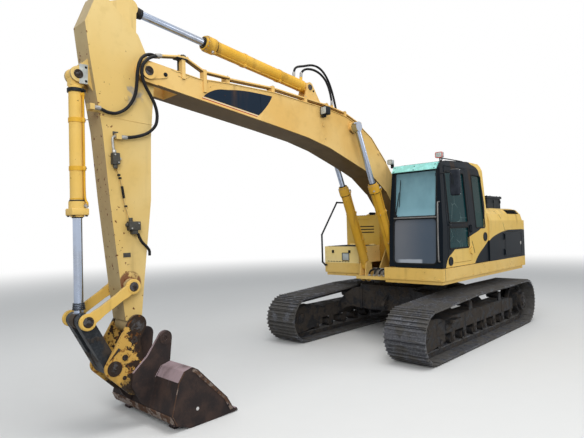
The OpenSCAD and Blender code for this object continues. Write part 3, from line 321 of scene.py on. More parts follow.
# %% Steel, mud and rust
def dirty_steel(name, metal, mud, cover=0.5, rough=0.55, shine=0.5, scale=6.0):
    f = Finish(name, Specular_IOR_Level=0.25)
    cake = f.fade(f.grain(scale, 6.0) + f.grain(scale * 0.2, 2.0) * 0.4 - 0.2, 0.56 - cover * 0.3, 0.66 - cover * 0.3)
    flecks = f.fade(f.grain(scale * 7.0, 4.0), 0.45, 0.75)
    coat = f.mix(flecks, metal, tuple(1.9 * c + 0.01 for c in metal))
    dirt = f.mix(f.grain(scale * 4.0, 4.0), tuple(0.55 * c for c in mud), tuple(1.5 * c for c in mud))
    coat = f.mix(cake, coat, dirt)
    f.use(Base_Color=coat, Roughness=rough + cake * (0.95 - rough), Metallic=(1.0 - cake) * shine)
    f.bump(cake * 0.8 + f.grain(scale * 5.0, 5.0) * 0.35, 0.006)
    return f

shoe_steel = dirty_steel("shoe_steel", (0.105, 0.107, 0.118), (0.1, 0.095, 0.09), 0.5, 0.48, 0.45)
frame_steel = dirty_steel("frame_steel", (0.02, 0.02, 0.022), (0.05, 0.042, 0.036), 0.4, 0.62, 0.1)
roller_steel = dirty_steel("roller_steel", (0.034, 0.033, 0.035), (0.05, 0.042, 0.036), 0.35, 0.5, 0.4, 9.0)
ring_steel = dirty_steel("ring_steel", (0.012, 0.012, 0.013), (0.035, 0.028, 0.022), 0.3, 0.5, 0.3)
link_steel = dirty_steel("link_steel", (0.014, 0.017, 0.021), (0.045, 0.036, 0.03), 0.25, 0.5, 0.1)
pin_steel = dirty_steel("pin_steel", (0.07, 0.066, 0.068), (0.038, 0.028, 0.022), 0.35, 0.5, 0.4, 18.0)

bucket_steel = Finish("bucket_steel", Specular_IOR_Level=0.12)
b = bucket_steel
scale_rust = b.fade(b.grain(5.0, 6.0), 0.38, 0.66)
coat = b.mix(scale_rust, (0.03, 0.024, 0.024), (0.06, 0.04, 0.034))
coat = b.mix(b.fade(b.grain(30.0, 5.0), 0.6, 0.78) * 0.5, coat, (0.11, 0.055, 0.034))
dry = b.fade(b.facing("Z"), 0.3, 0.6) * b.fade(b.grain(4.0, 5.0), 0.15, 0.55)
coat = b.mix(dry * 0.85, coat, (0.4, 0.3, 0.32))
scrape = b.fade(b.grain(1.0, 4.0, (1.2, 30.0, 1.2)), 0.6, 0.72) * b.fade(b.grain(3.0), 0.45, 0.65)
coat = b.mix(scrape * 0.6, coat, (0.2, 0.19, 0.2))
bucket_steel.use(Base_Color=coat, Roughness=0.68 + dry * 0.22 - scrape * 0.2, Metallic=scrape * 0.7)
bucket_steel.bump(scale_rust * 0.5 + b.grain(60.0, 4.0) * 0.4, 0.004)

# %% [markdown]
# A ram's rod is hard chrome. It is never quite clean: oil haze breaks the mirror, and the bucket rod's eye is
# dark with grease.

# %% Chrome, plastic, rubber and lamp finishes
chrome = Finish("rod_chrome", Metallic=1.0)
haze = chrome.fade(chrome.grain(3.0, 4.0), 0.42, 0.7)
bucket_eye = chrome.fade(chrome.axis("Z"), 1.215, 1.195) * chrome.fade(chrome.axis("X"), 6.0, 6.05)
# The clean chrome's blue tint is a painted reflection of the sky; oil haze turns it grey.
sky_tinted_polish = chrome.mix(haze * 0.5, (0.42, 0.48, 0.6), (0.28, 0.27, 0.26))
chrome.use(Base_Color=chrome.mix(bucket_eye, sky_tinted_polish, (0.055, 0.04, 0.028)),
           Roughness=0.13 + haze * 0.22 + bucket_eye * 0.45)
chrome.bump(chrome.grain(90.0, 2.0), 0.0003)

def satin(name, shade, rough=0.5, dust=0.35, metal=0.0, scale=14.0):
    f = Finish(name, Metallic=metal, Specular_IOR_Level=0.12)
    cloud = f.fade(f.grain(scale, 4.0), 0.4, 0.7)
    settled = f.fade(f.facing("Z"), 0.3, 0.95) * f.fade(f.grain(6.0, 3.0), 0.3, 0.6)
    coat = f.mix(cloud * 0.5, shade, tuple(min(1.0, 1.7 * c + 0.008) for c in shade))
    f.use(Base_Color=f.mix(settled * dust, coat, (0.22, 0.19, 0.15)), Roughness=rough + cloud * 0.12 + settled * 0.2)
    f.bump(f.grain(120.0, 2.0) + cloud * 0.5, 0.0006)
    return f

black_paint = satin("black_paint", (0.01, 0.013, 0.016), 0.5, 0.2)
rubber = satin("hose_rubber", (0.012, 0.012, 0.013), 0.62, 0.25)
seal_rubber = satin("seal_rubber", (0.01, 0.011, 0.012), 0.7, 0.15)
cab_plastic = satin("cab_plastic", (0.03, 0.031, 0.034), 0.6, 0.2)
mirror_plastic = satin("mirror_plastic", (0.016, 0.02, 0.028), 0.38, 0.3)
visor_plastic = satin("visor_plastic", (0.28, 0.66, 0.6), 0.35, 0.3)
fitting_zinc = satin("fitting_zinc", (0.33, 0.325, 0.31), 0.4, 0.4, 0.5, 30.0)
block_grey = satin("block_grey", (0.06, 0.058, 0.05), 0.5, 0.5, 0.3, 40.0)
rail_grey = satin("rail_grey", (0.17, 0.165, 0.16), 0.45, 0.4, 0.5, 30.0)
lamp_shell = satin("lamp_shell", (0.3, 0.32, 0.33), 0.35, 0.4, 0.4)
lamp_red = satin("lamp_red", (0.62, 0.06, 0.03), 0.4, 0.3)
mirror_face = Finish("mirror_face", Metallic=1.0)
smears = mirror_face.fade(mirror_face.grain(5.0), 0.45, 0.7)
mirror_face.use(Base_Color=(0.7, 0.74, 0.78), Roughness=0.06 + smears * 0.15)
engine_grey = dirty_steel("engine_grey", (0.05, 0.05, 0.052), (0.05, 0.038, 0.028), 0.4, 0.55, 0.2)
grille_black = satin("grille_black", (0.008, 0.009, 0.01), 0.55, 0.2)

lens = Finish("lamp_lens", IOR=1.45)
ribs = lens.get("ShaderNodeTexWave", {"bands_direction": "Z"}, "Fac", Vector=lens.spot, Scale=22.0)
lens.use(Base_Color=lens.mix(lens.grain(9.0, 3.0), (0.62, 0.66, 0.64), (0.42, 0.46, 0.45)),
         Roughness=0.12 + ribs * 0.1)
lens.bump(ribs, 0.003)

# %% [markdown]
# The panes are tinted green and have a film of dust that is thicker at the lower rim.
# Real glass would show an empty cab as black. A faintly glossy, part-transparent shade keeps the seat just visible.

# %% Window glass
def window(name, shade, haze_shade, low, high, base=0.55, film=0.5, other=None):
    f = Finish(name, Specular_IOR_Level=0.05)
    rise = f.fade(f.axis("Z"), low, high)
    smear = f.fade(f.grain(1.6, 4.0, (1.0, 1.0, 0.7)), 0.35, 0.7)
    edge = 1.0 - f.fade(f.axis("Z"), low, low + 0.16)
    dirt = (smear * 0.55 + edge * 0.75).clamp()
    spots = f.fade(f.cells(26.0), 0.1, 0.05) * 0.4
    coat = f.mix(dirt * film, f.mix(rise, shade, tuple(0.62 * c for c in shade)), haze_shade)
    if other:
        coat = other(f, coat, dirt)
    f.use(Base_Color=coat, Roughness=0.08 + dirt * 0.3 + spots * 0.2, Alpha=(dirt * 0.25 + spots + base).clamp())
    return f

def cab_panes(f, coat, dirt):
    """The lower pane is darker and hazy, with a pale band low down; the panes at the side are a deep green."""
    y, z = f.axis("Y"), f.axis("Z")
    hazy = f.mix(f.fade(y, 1.1, 0.55) * 0.6 + dirt * 0.3, (0.055, 0.085, 0.125), (0.17, 0.18, 0.2))
    band = f.fade(z + f.grain(2.0) * 0.05, 1.455, 1.435) * f.fade(y, 0.52, 0.62) * f.fade(y, 1.0, 0.96)
    coat = f.mix(f.fade(z, 2.09, 2.08), coat, f.mix(band * 0.8, hazy, (0.46, 0.5, 0.56)))
    return f.mix(f.fade(y, 1.245, 1.255), coat, f.mix(dirt * 0.4, (0.006, 0.03, 0.03), (0.03, 0.075, 0.07)))

def cracks(f, coat, dirt):
    """Fine cracks run over the door's glass from its lower corner."""
    lines = f.fade(f.cells(3.4, "DISTANCE_TO_EDGE"), 0.012, 0.004) * f.fade(f.grain(2.2, 3.0), 0.46, 0.58)
    return f.mix(lines * 0.6, coat, (0.3, 0.44, 0.42))

upper_glass = window("upper_glass", (0.2, 0.38, 0.45), (0.26, 0.46, 0.54), 2.09, 2.82, 0.93, 0.8, cab_panes)
side_glass = window("side_glass", (0.004, 0.04, 0.048), (0.012, 0.06, 0.064), 1.55, 2.8, 0.93, 0.5, cracks)

# %% [markdown]
# Seat cloth is a tight grey weave with a worn sheen. The weave is two crossed waves on the cushion's own coordinates.

# %% Seat cloth
cloth = Finish("seat_cloth", Sheen_Weight=0.4)
warp, weft = (cloth.get("ShaderNodeTexWave", {"bands_direction": way}, "Fac", Vector=cloth.spot, Scale=70.0)
              for way in "XY")
worn_spots = cloth.fade(cloth.grain(4.0, 4.0), 0.42, 0.68)
cloth.use(Base_Color=cloth.mix(worn_spots, (0.028, 0.03, 0.034), (0.065, 0.066, 0.07)),
          Roughness=0.82 - worn_spots * 0.1)
cloth.bump(warp * 0.5 + weft * 0.5, 0.001)
print("finishes:", len(bpy.data.materials))

# %% [markdown]
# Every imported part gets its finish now. The part keeps its mesh, and only the material in its slots changes.

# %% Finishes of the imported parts
PARTS = {
    frame_steel: "carbody track_frames", ring_steel: "swing_ring", roller_steel: "rollers drives",
    shoe_steel: "track_left track_right", skirt_paint: "swing_frame skirts", engine_grey: "engine_block",
    house_paint: "counterweight body_shell engine_hood service_door_left service_door_right",
    tank_paint: "fuel_tank", box_paint_lit: "toolbox toolbox_lid", black_paint: "handrail air_cleaner boom_lamp",
    cab_paint: "cab_shell cab_door", upper_glass: "cab_glass", side_glass: "door_glass", visor_plastic: "sun_visor",
    lamp_shell: "cab_lamps", mirror_plastic: "mirror", cab_plastic: "seat_frame cab_controls",
    boom_paint: "boom boom_pipes", ram_paint: "boom_barrel_left boom_barrel_right stick_barrel",
    chrome: "boom_rod_left boom_rod_right stick_rod bucket_rod", stick_paint: "stick",
    link_paint: "bucket_barrel side_links", link_steel: "h_link", worn_paint: "coupler", bucket_steel: "bucket"}
for finish, names in PARTS.items():
    for name in names.split():
        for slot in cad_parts[name].material_slots:
            slot.material = finish.material
print("parts finished:", sum(len(names.split()) for names in PARTS.values()))

# %% [markdown]
# A piece is a list of steps: each names a shape helper and says where the shape goes. They are built in one bmesh, and
# one function names it, shades it and fixes it to a body. Body, finish and material slot together are a piece's kit.
# The shape helpers are the workshop: a bar, a box with broken edges, a plate cut from an outline, a ring, a bolt.

# %% Workshop
def hand_over(bm, name, body, finish, slot=None, sharp=35):
    """Turns a bmesh into a finished piece. It rides on a body; given (first, second, start, end) instead, it does not
    bend and is only left where it was built.
    """
    mesh = bpy.data.meshes.new(name)
    bm.to_mesh(mesh)
    bm.free()
    mesh.materials.append(finish.material)
    mesh.shade_smooth()
    mesh.set_sharp_from_angle(angle=math.radians(sharp))
    made = bpy.data.objects.new(name, mesh)
    bpy.context.scene.collection.objects.link(made)
    if isinstance(body, str):
        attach(made, body)
    else:
        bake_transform(made)
    return made

def piece(name, kit, *steps, sharp=35):
    """One piece from its steps. A step is a shape helper and what it needs after the bmesh."""
    bm = bmesh.new()
    for tool, *sizes in steps:
        tool(bm, *sizes)
    return hand_over(bm, name, *kit, sharp)

def row(start, step, count):
    return [start + step * k for k in range(count)]

def circle(count, start=0):
    """Angles all round, in radians, from a first one in degrees."""
    return [math.radians(start) + k * math.tau / count for k in range(count)]

def rounded(bm, edges, width, segments=2):
    if width > 0:
        bmesh.ops.bevel(bm, geom=list(edges), offset=width, offset_type="OFFSET", affect="EDGES", segments=segments,
                        profile=0.5, material=-1, clamp_overlap=True)

def box(bm, low, high, edge=0.004, segments=2):
    """A box between two corners with rounded edges."""
    low, high = Vector(low), Vector(high)
    made = bmesh.ops.create_cube(bm, size=1.0)["verts"]
    size = high - low
    bmesh.ops.scale(bm, vec=size, verts=made)
    bmesh.ops.translate(bm, vec=(low + high) / 2, verts=made)
    rounded(bm, {e for v in made for e in v.link_edges}, min(edge, min(size) * 0.45), segments)

def aim(start, end):
    """The matrix that lays a +Z shape of its own length from start to end."""
    start, end = Vector(start), Vector(end)
    return Matrix.Translation((start + end) / 2) @ (end - start).to_track_quat("Z", "Y").to_matrix().to_4x4()

def bar(bm, start, end, radius, sides=20, edge=0.0, radius_end=None):
    """A round bar, or a cone, from start to end."""
    length = (Vector(end) - Vector(start)).length
    made = bmesh.ops.create_cone(bm, cap_ends=True, segments=sides, radius1=radius,
                                 radius2=radius if radius_end is None else radius_end, depth=length,
                                 matrix=aim(start, end))["verts"]
    if edge > 0:
        caps = {e for v in made for e in v.link_edges if len(e.link_faces) == 2
                and sorted(len(face.verts) for face in e.link_faces) == [4, sides]}
        rounded(bm, caps, edge)

def slab(bm, corners, push, edge=0.0):
    """A flat face through the corners, pushed out to a plate."""
    verts = [bm.verts.new(corner) for corner in corners]
    made = bmesh.ops.extrude_face_region(bm, geom=[bm.faces.new(verts)])["geom"]
    moved = [g for g in made if isinstance(g, bmesh.types.BMVert)]
    bmesh.ops.translate(bm, vec=push, verts=moved)
    faces = list({f for v in verts + moved for f in v.link_faces})
    bmesh.ops.recalc_face_normals(bm, faces=faces)
    rounded(bm, {e for f in faces for e in f.edges}, edge, 1)

def plate(bm, outline, y0, y1, edge=0.003):
    """A plate cut from an outline in X and Z, between y0 and y1."""
    slab(bm, [(x, y0, z) for x, z in outline], (0, y1 - y0, 0), edge)

def ring(bm, centre, axis, inner, outer, width, sides=32):
    """A flat ring: the outline of a rectangle spun about an axis, with no face left inside it."""
    axis, c, before = Vector(axis).normalized(), Vector(centre), set(bm.faces)
    side = axis.orthogonal().normalized()
    corners = [bm.verts.new(c + side * r + axis * w) for r, w in
               ((inner, -width / 2), (outer, -width / 2), (outer, width / 2), (inner, width / 2))]
    edges = [bm.edges.new(pair) for pair in zip(corners, corners[1:] + corners[:1])]
    bmesh.ops.spin(bm, geom=corners + edges, cent=c, axis=axis, angle=math.tau, steps=sides, use_merge=True,
                   use_duplicate=False)
    bmesh.ops.recalc_face_normals(bm, faces=[f for f in bm.faces if f not in before])

def bolt(bm, at, axis, size=0.012, height=0.009, washer=True):
    """A hexagon head on a washer, standing on a face."""
    at, axis = Vector(at), Vector(axis).normalized()
    if washer:
        bar(bm, at, at + axis * size * 0.25, size * 1.35, 12)
    bar(bm, at, at + axis * (height + size * 0.25), size, 6)

def bead(bm, points, radius=0.006, sides=6):
    """A weld bead or a thin bar along a path."""
    for start, end in zip(points, points[1:]):
        bar(bm, start, end, radius, sides)

def smooth_path(points, steps=5):
    """A smooth curve through the points, for hoses and bent pipes."""
    p = [Vector(q) for q in points]
    p = [p[0] * 2 - p[1]] + p + [p[-1] * 2 - p[-2]]
    out = []
    for a, b, c, d in zip(p, p[1:], p[2:], p[3:]):
        for t in (k / steps for k in range(steps)):
            square, cube = 2 * a - 5 * b + 4 * c - d, 3 * b - a - 3 * c + d
            out.append(0.5 * (2 * b + (c - a) * t + square * t * t + cube * t ** 3))
    return out + [p[-2]]

def tube(name, kit, points, radius, steps=5, sides=10, free=None):
    path = smooth_path(points, steps)
    curve = bpy.data.curves.new(name, "CURVE")
    curve.dimensions = "3D"
    curve.bevel_depth = radius
    curve.bevel_resolution = max(1, sides // 4 - 1)
    curve.use_fill_caps = True
    line = curve.splines.new("POLY")
    line.points.add(len(path) - 1)
    for point, place in zip(line.points, path):
        point.co = (*place, 1.0)
    holder = bpy.data.objects.new(name + "_curve", curve)
    mesh = bpy.data.meshes.new_from_object(holder)
    bpy.data.objects.remove(holder)
    mesh.name = name
    bm = bmesh.new()
    bm.from_mesh(mesh)
    bpy.data.meshes.remove(mesh)
    bmesh.ops.remove_doubles(bm, verts=bm.verts, dist=1e-5)
    made = hand_over(bm, name, *kit, 60)
    if free:
        length = sum((b - a).length for a, b in zip(path, path[1:]))
        print(name, round(length, 2), "m")
    return made

print("workshop ready")

# %% [markdown]
# A hose is made along the route that its oil takes, and it is the first piece to place: it fixes where clamps go.
# Two feed the bucket ram: they leave the pipes at the boom's tip, pass the pivot beside the stick and end in its
# blocks. Each is one round sweep along the imported tube's route, smoothed.

# %% Hoses over the boom's tip
TIP_UPPER = [(5.33, 0.167, 3.84), (5.355, 0.167, 3.835), (5.388, 0.167, 3.837), (5.432, 0.172, 3.838),
             (5.507, 0.19, 3.808), (5.567, 0.215, 3.757), (5.604, 0.226, 3.69), (5.62, 0.226, 3.623),
             (5.627, 0.224, 3.56), (5.629, 0.215, 3.483), (5.634, 0.2, 3.391), (5.66, 0.188, 3.31),
             (5.71, 0.178, 3.234), (5.773, 0.17, 3.18), (5.844, 0.165, 3.15), (5.92, 0.165, 3.15),
             (5.978, 0.165, 3.168), (6.02, 0.165, 3.178), (6.06, 0.165, 3.178)]
TIP_LOWER = [(5.33, 0.203, 3.84), (5.355, 0.203, 3.835), (5.405, 0.209, 3.816), (5.485, 0.227, 3.774),
             (5.548, 0.25, 3.716), (5.58, 0.25, 3.666), (5.589, 0.25, 3.608), (5.586, 0.25, 3.562),
             (5.57, 0.25, 3.502), (5.529, 0.235, 3.443), (5.473, 0.22, 3.376), (5.425, 0.207, 3.307),
             (5.397, 0.2, 3.232), (5.391, 0.195, 3.161), (5.408, 0.19, 3.086), (5.468, 0.182, 3.015),
             (5.542, 0.172, 2.971), (5.642, 0.165, 2.938), (5.74, 0.162, 2.922), (5.79, 0.162, 2.922)]
TIP_BEND = ("main_boom", "arm", (5.4, 0.17, 3.8), (5.62, 0.17, 3.1))
HOSE = dict(far_end="object", stiffness="stiff", lay="hanging")
HOSE_RADIUS = 0.017
for name, route in (("tip_hose_upper", TIP_UPPER), ("tip_hose_lower", TIP_LOWER)):
    hose = tube(name + "_rubber", (TIP_BEND, rubber, "hose_rubber"), route, HOSE_RADIUS, 3, 12, HOSE)
    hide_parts(name)

# %% [markdown]
# The stick ram's hoses rise from two unions on the barrel and arch back over its base pin, because the barrel rocks
# there whenever the ram pushes.

# %% Hoses of the stick ram
RAM_UPPER = [(2.997, -0.035, 4.164), (2.992, -0.035, 4.2137), (2.96, -0.046, 4.285), (2.905, -0.056, 4.33),
             (2.83, -0.068, 4.36), (2.74, -0.08, 4.388), (2.645, -0.091, 4.42), (2.545, -0.1, 4.452),
             (2.44, -0.108, 4.47), (2.335, -0.113, 4.465), (2.235, -0.116, 4.43), (2.145, -0.117, 4.36),
             (2.07, -0.117, 4.265), (2.01, -0.117, 4.15), (1.96, -0.117, 4.02), (1.925, -0.117, 3.9),
             (1.905, -0.117, 3.8), (1.905, -0.117, 3.755)]
RAM_LOWER = [(2.918, 0.035, 4.1556), (2.912, 0.035, 4.2053), (2.88, 0.044, 4.258), (2.825, 0.055, 4.29),
             (2.755, 0.068, 4.303), (2.68, 0.081, 4.302), (2.605, 0.093, 4.286), (2.53, 0.103, 4.252),
             (2.462, 0.111, 4.2), (2.408, 0.115, 4.13), (2.366, 0.117, 4.045), (2.336, 0.117, 3.955),
             (2.318, 0.117, 3.875), (2.318, 0.117, 3.83)]
RAM_BEND = ("main_boom", "arm_barrel", (2.35, 0.0, 4.1), (2.9, 0.0, 4.2))
for name, route in (("ram_hose_upper", RAM_UPPER), ("ram_hose_lower", RAM_LOWER)):
    hose = tube(name + "_rubber", (RAM_BEND, rubber, "hose_rubber"), route, HOSE_RADIUS, 3, 12, HOSE)
    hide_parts(name)

# %% [markdown]
# A hose ends in a crimped steel sleeve and a hexagon nut. One pair is made for each end, in line with the hose.

# %% Hose ends
def hose_end(bm, end, inner):
    """A crimped sleeve and a nut in line with the last stretch of a hose."""
    end = Vector(end)
    along = (Vector(inner) - end).normalized()
    bar(bm, end, end + along * 0.022, HOSE_RADIUS * 1.35, 6, 0.001)
    bar(bm, end + along * 0.022, end + along * 0.07, HOSE_RADIUS * 1.22, 16, 0.002)
    for s in row(0.034, 0.012, 3):
        ring(bm, end + along * s, along, HOSE_RADIUS, HOSE_RADIUS * 1.3, 0.004, 16)

for name, body, routes in (("boom_tip_unions", "main_boom", (TIP_UPPER, TIP_LOWER)),
                           ("stick_hose_unions", "arm", (TIP_UPPER[::-1], TIP_LOWER[::-1])),
                           ("boom_back_unions", "main_boom", (RAM_UPPER[::-1], RAM_LOWER[::-1])),
                           ("ram_port_unions", "arm_barrel", (RAM_UPPER, RAM_LOWER))):
    piece(name, (body, fitting_zinc, "rod_chrome"), *((hose_end, route[0], route[1]) for route in routes))
print("hoses and their ends done")

# %% [markdown]
# The cab's skin is slanted, so trim has to lie on a slope. Small functions give the skin's place at any height.
# A seal, a rail or a hinge is then drawn flat and carried onto the skin by them.

# %% Skin of the cab
def between(z, table):
    """The value at z of a line through (z, value) pairs."""
    for (z0, a), (z1, b) in zip(table, table[1:]):
        if z <= z1:
            return a + (b - a) * max(0.0, (z - z0) / (z1 - z0))
    return table[-1][1]

def front_x(z): return between(z, [(1.3, 1.29), (2.085, 1.24), (2.84, 1.165), (2.93, 1.095)])
def left_y(z): return between(z, [(1.3, 1.335), (1.95, 1.335), (2.9, 1.265), (3.02, 1.225)])
def right_y(z): return between(z, [(1.3, 0.402), (1.95, 0.402), (2.9, 0.432), (3.02, 0.472)])

def round_frame(a0, a1, b0, b1, radius, steps=5):
    """A rectangle with round corners as flat points."""
    out = []
    for ca, cb, turn in ((a1 - radius, b0 + radius, -90), (a1 - radius, b1 - radius, 0),
                         (a0 + radius, b1 - radius, 90), (a0 + radius, b0 + radius, 180)):
        for k in range(steps + 1):
            t = math.radians(turn + 90 * k / steps)
            out.append((ca + radius * math.cos(t), cb + radius * math.sin(t)))
    return out

def strip(name, kit, outline, width, height, out, closed=False):
    """A rubber or metal strip of tapered section along a path; out gives its outward direction."""
    bm, count, rings, out = bmesh.new(), len(outline), [], Vector(out).normalized()
    for i, place in enumerate(outline):
        before = Vector(outline[i - 1 if closed else max(i - 1, 0)])
        after = Vector(outline[(i + 1) % count if closed else min(i + 1, count - 1)])
        side = (after - before).normalized().cross(out).normalized()
        rings.append([bm.verts.new(Vector(place) + side * s * width / 2 + out * h) for s, h in
                      ((-1, 0.0), (1, 0.0), (0.7, height), (-0.7, height))])
    for a, b in zip(rings, rings[1:] + (rings[:1] if closed else [])):
        for k in range(4):
            bm.faces.new((a[k], b[k], b[(k + 1) % 4], a[(k + 1) % 4]))
    if not closed:
        bm.faces.new(rings[0])
        bm.faces.new(rings[-1][::-1])
    bmesh.ops.recalc_face_normals(bm, faces=bm.faces)
    return hand_over(bm, name, *kit, 30)

def framed(name, kit, spans, place, width, height, out):
    """A closed strip along a rounded rectangle, which place carries from flat onto the machine."""
    return strip(name, kit, [place(a, b) for a, b in round_frame(*spans)], width, height, out, True)

TRIM = ("house", black_paint, "trim")
DARK = ("house", black_paint, "black_paint")
GRILLE = ("house", grille_black, "black_paint")

# %% [markdown]
# Every pane sits in a rubber seal. It is a strip that follows the pane's rounded outline, standing a little proud.
# The split windscreen has a bright bar between its two panes.

# %% Window seals
SEAL = ("house", seal_rubber, "trim")
DOOR_SEAL = ("driver_door", seal_rubber, "trim")
FRONT_OUT, LEFT_OUT = (1.0, 0.0, 0.08), (0.0, 1.0, 0.07)
for name, spans in (("lower", (0.482, 1.235, 1.355, 2.07, 0.07)), ("upper", (0.497, 1.223, 2.095, 2.82, 0.03))):
    framed("windscreen_seal_" + name, SEAL, spans, lambda y, z: (front_x(z) - 0.004, y, z), 0.03, 0.01, FRONT_OUT)
for name, kit, spans in (("door_seal_upper", DOOR_SEAL, (0.335, 1.025, 1.985, 2.8, 0.03)),
                         ("door_seal_lower", DOOR_SEAL, (0.335, 1.04, 1.58, 1.915, 0.03)),
                         ("rear_side_seal", SEAL, (-0.345, 0.04, 1.89, 2.8, 0.04))):
    framed(name, kit, spans, lambda x, z: (x, left_y(z) - 0.003, z), 0.026, 0.009, LEFT_OUT)
framed("right_side_seal", SEAL, (-0.3, 1.08, 1.75, 2.79, 0.05), lambda x, z: (x, right_y(z) + 0.003, z),
       0.026, 0.009, (0, -1, 0))
framed("rear_window_seal", SEAL, (0.512, 1.145, 2.3, 2.77, 0.05), lambda y, z: (-0.467, y, z),
       0.026, 0.008, (-1, 0, 0))
strip("windscreen_bar", ("house", rail_grey, "trim"),
      [(front_x(2.083) - 0.001, y, 2.083) for y in (0.487, 0.86, 1.232)], 0.026, 0.012, FRONT_OUT)

# %% [markdown]
# The wiper is parked at the side of the upper pane: a pressed arm on a spindle, and a blade in its carrier.

# %% Wiper
foot = Vector((front_x(2.12) + 0.012, 0.53, 2.12))
piece("wiper", TRIM,
      (bar, foot - Vector((0.02, 0, 0)), foot + Vector((0.018, 0, 0)), 0.016, 14, 0.003),
      (bar, foot + Vector((0.01, 0, 0)), (front_x(2.5) + 0.02, 0.585, 2.5), 0.009, 8, 0.0, 0.005),
      (bar, (front_x(2.26) + 0.006, 0.58, 2.26), (front_x(2.7) + 0.006, 0.6, 2.7), 0.006, 6))

# %% [markdown]
# A steel grab rail stands off the front corner post. It is one bent tube whose two feet are welded to the post.

# %% Grab rail and handles
tube("corner_grab_rail", ("house", rail_grey, "trim"),
     [(1.272, 1.285, 1.4), (1.318, 1.288, 1.405), (1.334, 1.29, 1.44), (1.332, 1.29, 1.7), (1.326, 1.29, 2.0),
      (1.312, 1.29, 2.26), (1.296, 1.286, 2.305), (1.226, 1.28, 2.31)], 0.011, 4)
tube("roof_edge_rail", TRIM, [(1.02, 1.228, 2.955), (1.0, 1.236, 2.985), (0.96, 1.232, 3.002), (0.3, 1.232, 3.008),
                              (0.27, 1.228, 2.99), (0.25, 1.222, 2.965)], 0.009, 4)
DOOR_TRIM = ("driver_door", black_paint, "trim")
piece("door_handle", DOOR_TRIM, (box, (0.985, 1.334, 1.935), (1.065, 1.349, 1.972), 0.006),
      (box, (0.992, 1.346, 1.944), (1.058, 1.358, 1.963), 0.005),
      (bar, (1.03, 1.34, 1.995), (1.03, 1.352, 1.995), 0.013, 16, 0.002))
piece("door_hinge_bolts", DOOR_TRIM,
      *((bolt, (0.302, 1.338, z + dz), (0, 1, 0), 0.008, 0.005) for z in (1.525, 1.885) for dz in (-0.028, 0.028)))

# %% [markdown]
# Two round black covers break up the yellow side panel, and a slim slot marks the panel's latch.

# %% Side panel covers and latch
def round_cover(bm, x, z, r):
    """A disc with a raised rim and four screws on the cab's left side."""
    bar(bm, (x, 1.334, z), (x, 1.343, z), r, 40, 0.003)
    ring(bm, (x, 1.345, z), (0, 1, 0), r * 0.72, r * 0.98, 0.006, 40)
    for a in circle(4, 45):
        bolt(bm, (x + r * 0.85 * math.cos(a), 1.347, z + r * 0.85 * math.sin(a)), (0, 1, 0), 0.006, 0.003, False)

piece("side_covers", TRIM, (round_cover, -0.33, 1.733, 0.078), (round_cover, 1.03, 1.393, 0.07))
strip("panel_latch", ("house", grille_black, "trim"),
      [(0.219, 1.3345, 1.679), (0.17, 1.3345, 1.58), (0.116, 1.3345, 1.473)], 0.012, 0.004, (0, 1, 0))

# %% [markdown]
# Above the windscreen hangs the tinted sun visor on three small brackets, with a rolled lower edge.

# %% Visor brackets
piece("visor_brackets", TRIM, *(step for y in (0.48, 0.835, 1.19) for step in (
    (box, (1.118, y - 0.012, 2.838), (1.196, y + 0.012, 2.85), 0.003),
    (bolt, (1.15, y, 2.905), (0.8, 0, 0.6), 0.007, 0.004))))
strip("visor_rim", ("house", visor_plastic, "visor"), [(1.197, y, 2.829) for y in (0.443, 0.84, 1.224)],
      0.012, 0.006, (1, 0, -0.3))

# %% [markdown]
# Work lamps sit on the roof's corners. Each is a cast shell with a ribbed lens, a bezel and a bolt to its bracket.

# %% Work lamps
def work_lamp(name, centre, size, body, shell, rim):
    """A work lamp that looks along +X: shell, bezel and lens."""
    c, (w, d, h) = Vector(centre), size
    def spot(x, y, z): return c + Vector((x, y, z))
    made = piece(name + "_shell", (body, shell, "trim"),
                 (box, spot(-w / 2, -d / 2, -h / 2), spot(w / 2 - 0.012, d / 2, h / 2), 0.014, 4),
                 *((box, spot(-w / 2 - 0.004, d * (0.26 * k - 0.3), -h * 0.35),
                    spot(-w / 2 + 0.004, d * (0.26 * k - 0.24), h * 0.35), 0.001, 1) for k in range(3)))
    framed(name + "_bezel", (body, rim, "trim"), (-d * 0.47, d * 0.47, -h * 0.47, h * 0.47, 0.016),
           lambda a, b: spot(w / 2 - 0.01, a, b), 0.01, 0.008, (1, 0, 0))
    piece(name + "_lens", (body, lens, "trim"),
          (box, spot(w / 2 - 0.014, -d * 0.44, -h * 0.44), spot(w / 2 - 0.004, d * 0.44, h * 0.44), 0.004, 2))
    return made

left_lamp = work_lamp("roof_lamp_left", (1.02, 1.205, 3.054), (0.07, 0.12, 0.088), "house", lamp_shell, lamp_red)
work_lamp("roof_lamp_right", (1.1465, 0.398, 3.021), (0.075, 0.086, 0.078), "house", lamp_shell, lamp_shell)
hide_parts("cab_lamps")
boom_lamp = work_lamp("boom_lamp_body", (2.675, 0.28, 3.66), (0.11, 0.11, 0.118), "main_boom", black_paint,
                      black_paint)
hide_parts("boom_lamp")
piece("boom_lamp_bracket", ("main_boom", black_paint, "black_paint"),
      (box, (2.64, 0.205, 3.575), (2.71, 0.265, 3.583), 0.002),
      (box, (2.64, 0.257, 3.575), (2.71, 0.265, 3.61), 0.002),
      *((bolt, (x, 0.23, 3.583), (0, 0, 1), 0.009, 0.007) for x in (2.655, 2.695)))
piece("lamp_brackets", TRIM, (bar, (1.01, 1.205, 2.88), (1.01, 1.205, 3.012), 0.011, 12),
      (bolt, (1.01, 1.205, 3.004), (0, 0, 1), 0.012, 0.006),
      (box, (1.06, 0.372, 2.925), (1.11, 0.44, 2.938), 0.002),
      (box, (1.098, 0.372, 2.925), (1.11, 0.432, 3.055), 0.002),
      *((bolt, (1.11, 0.4, z), (1, 0, 0), 0.007, 0.004) for z in (2.95, 3.03)))
print("cab trim done")

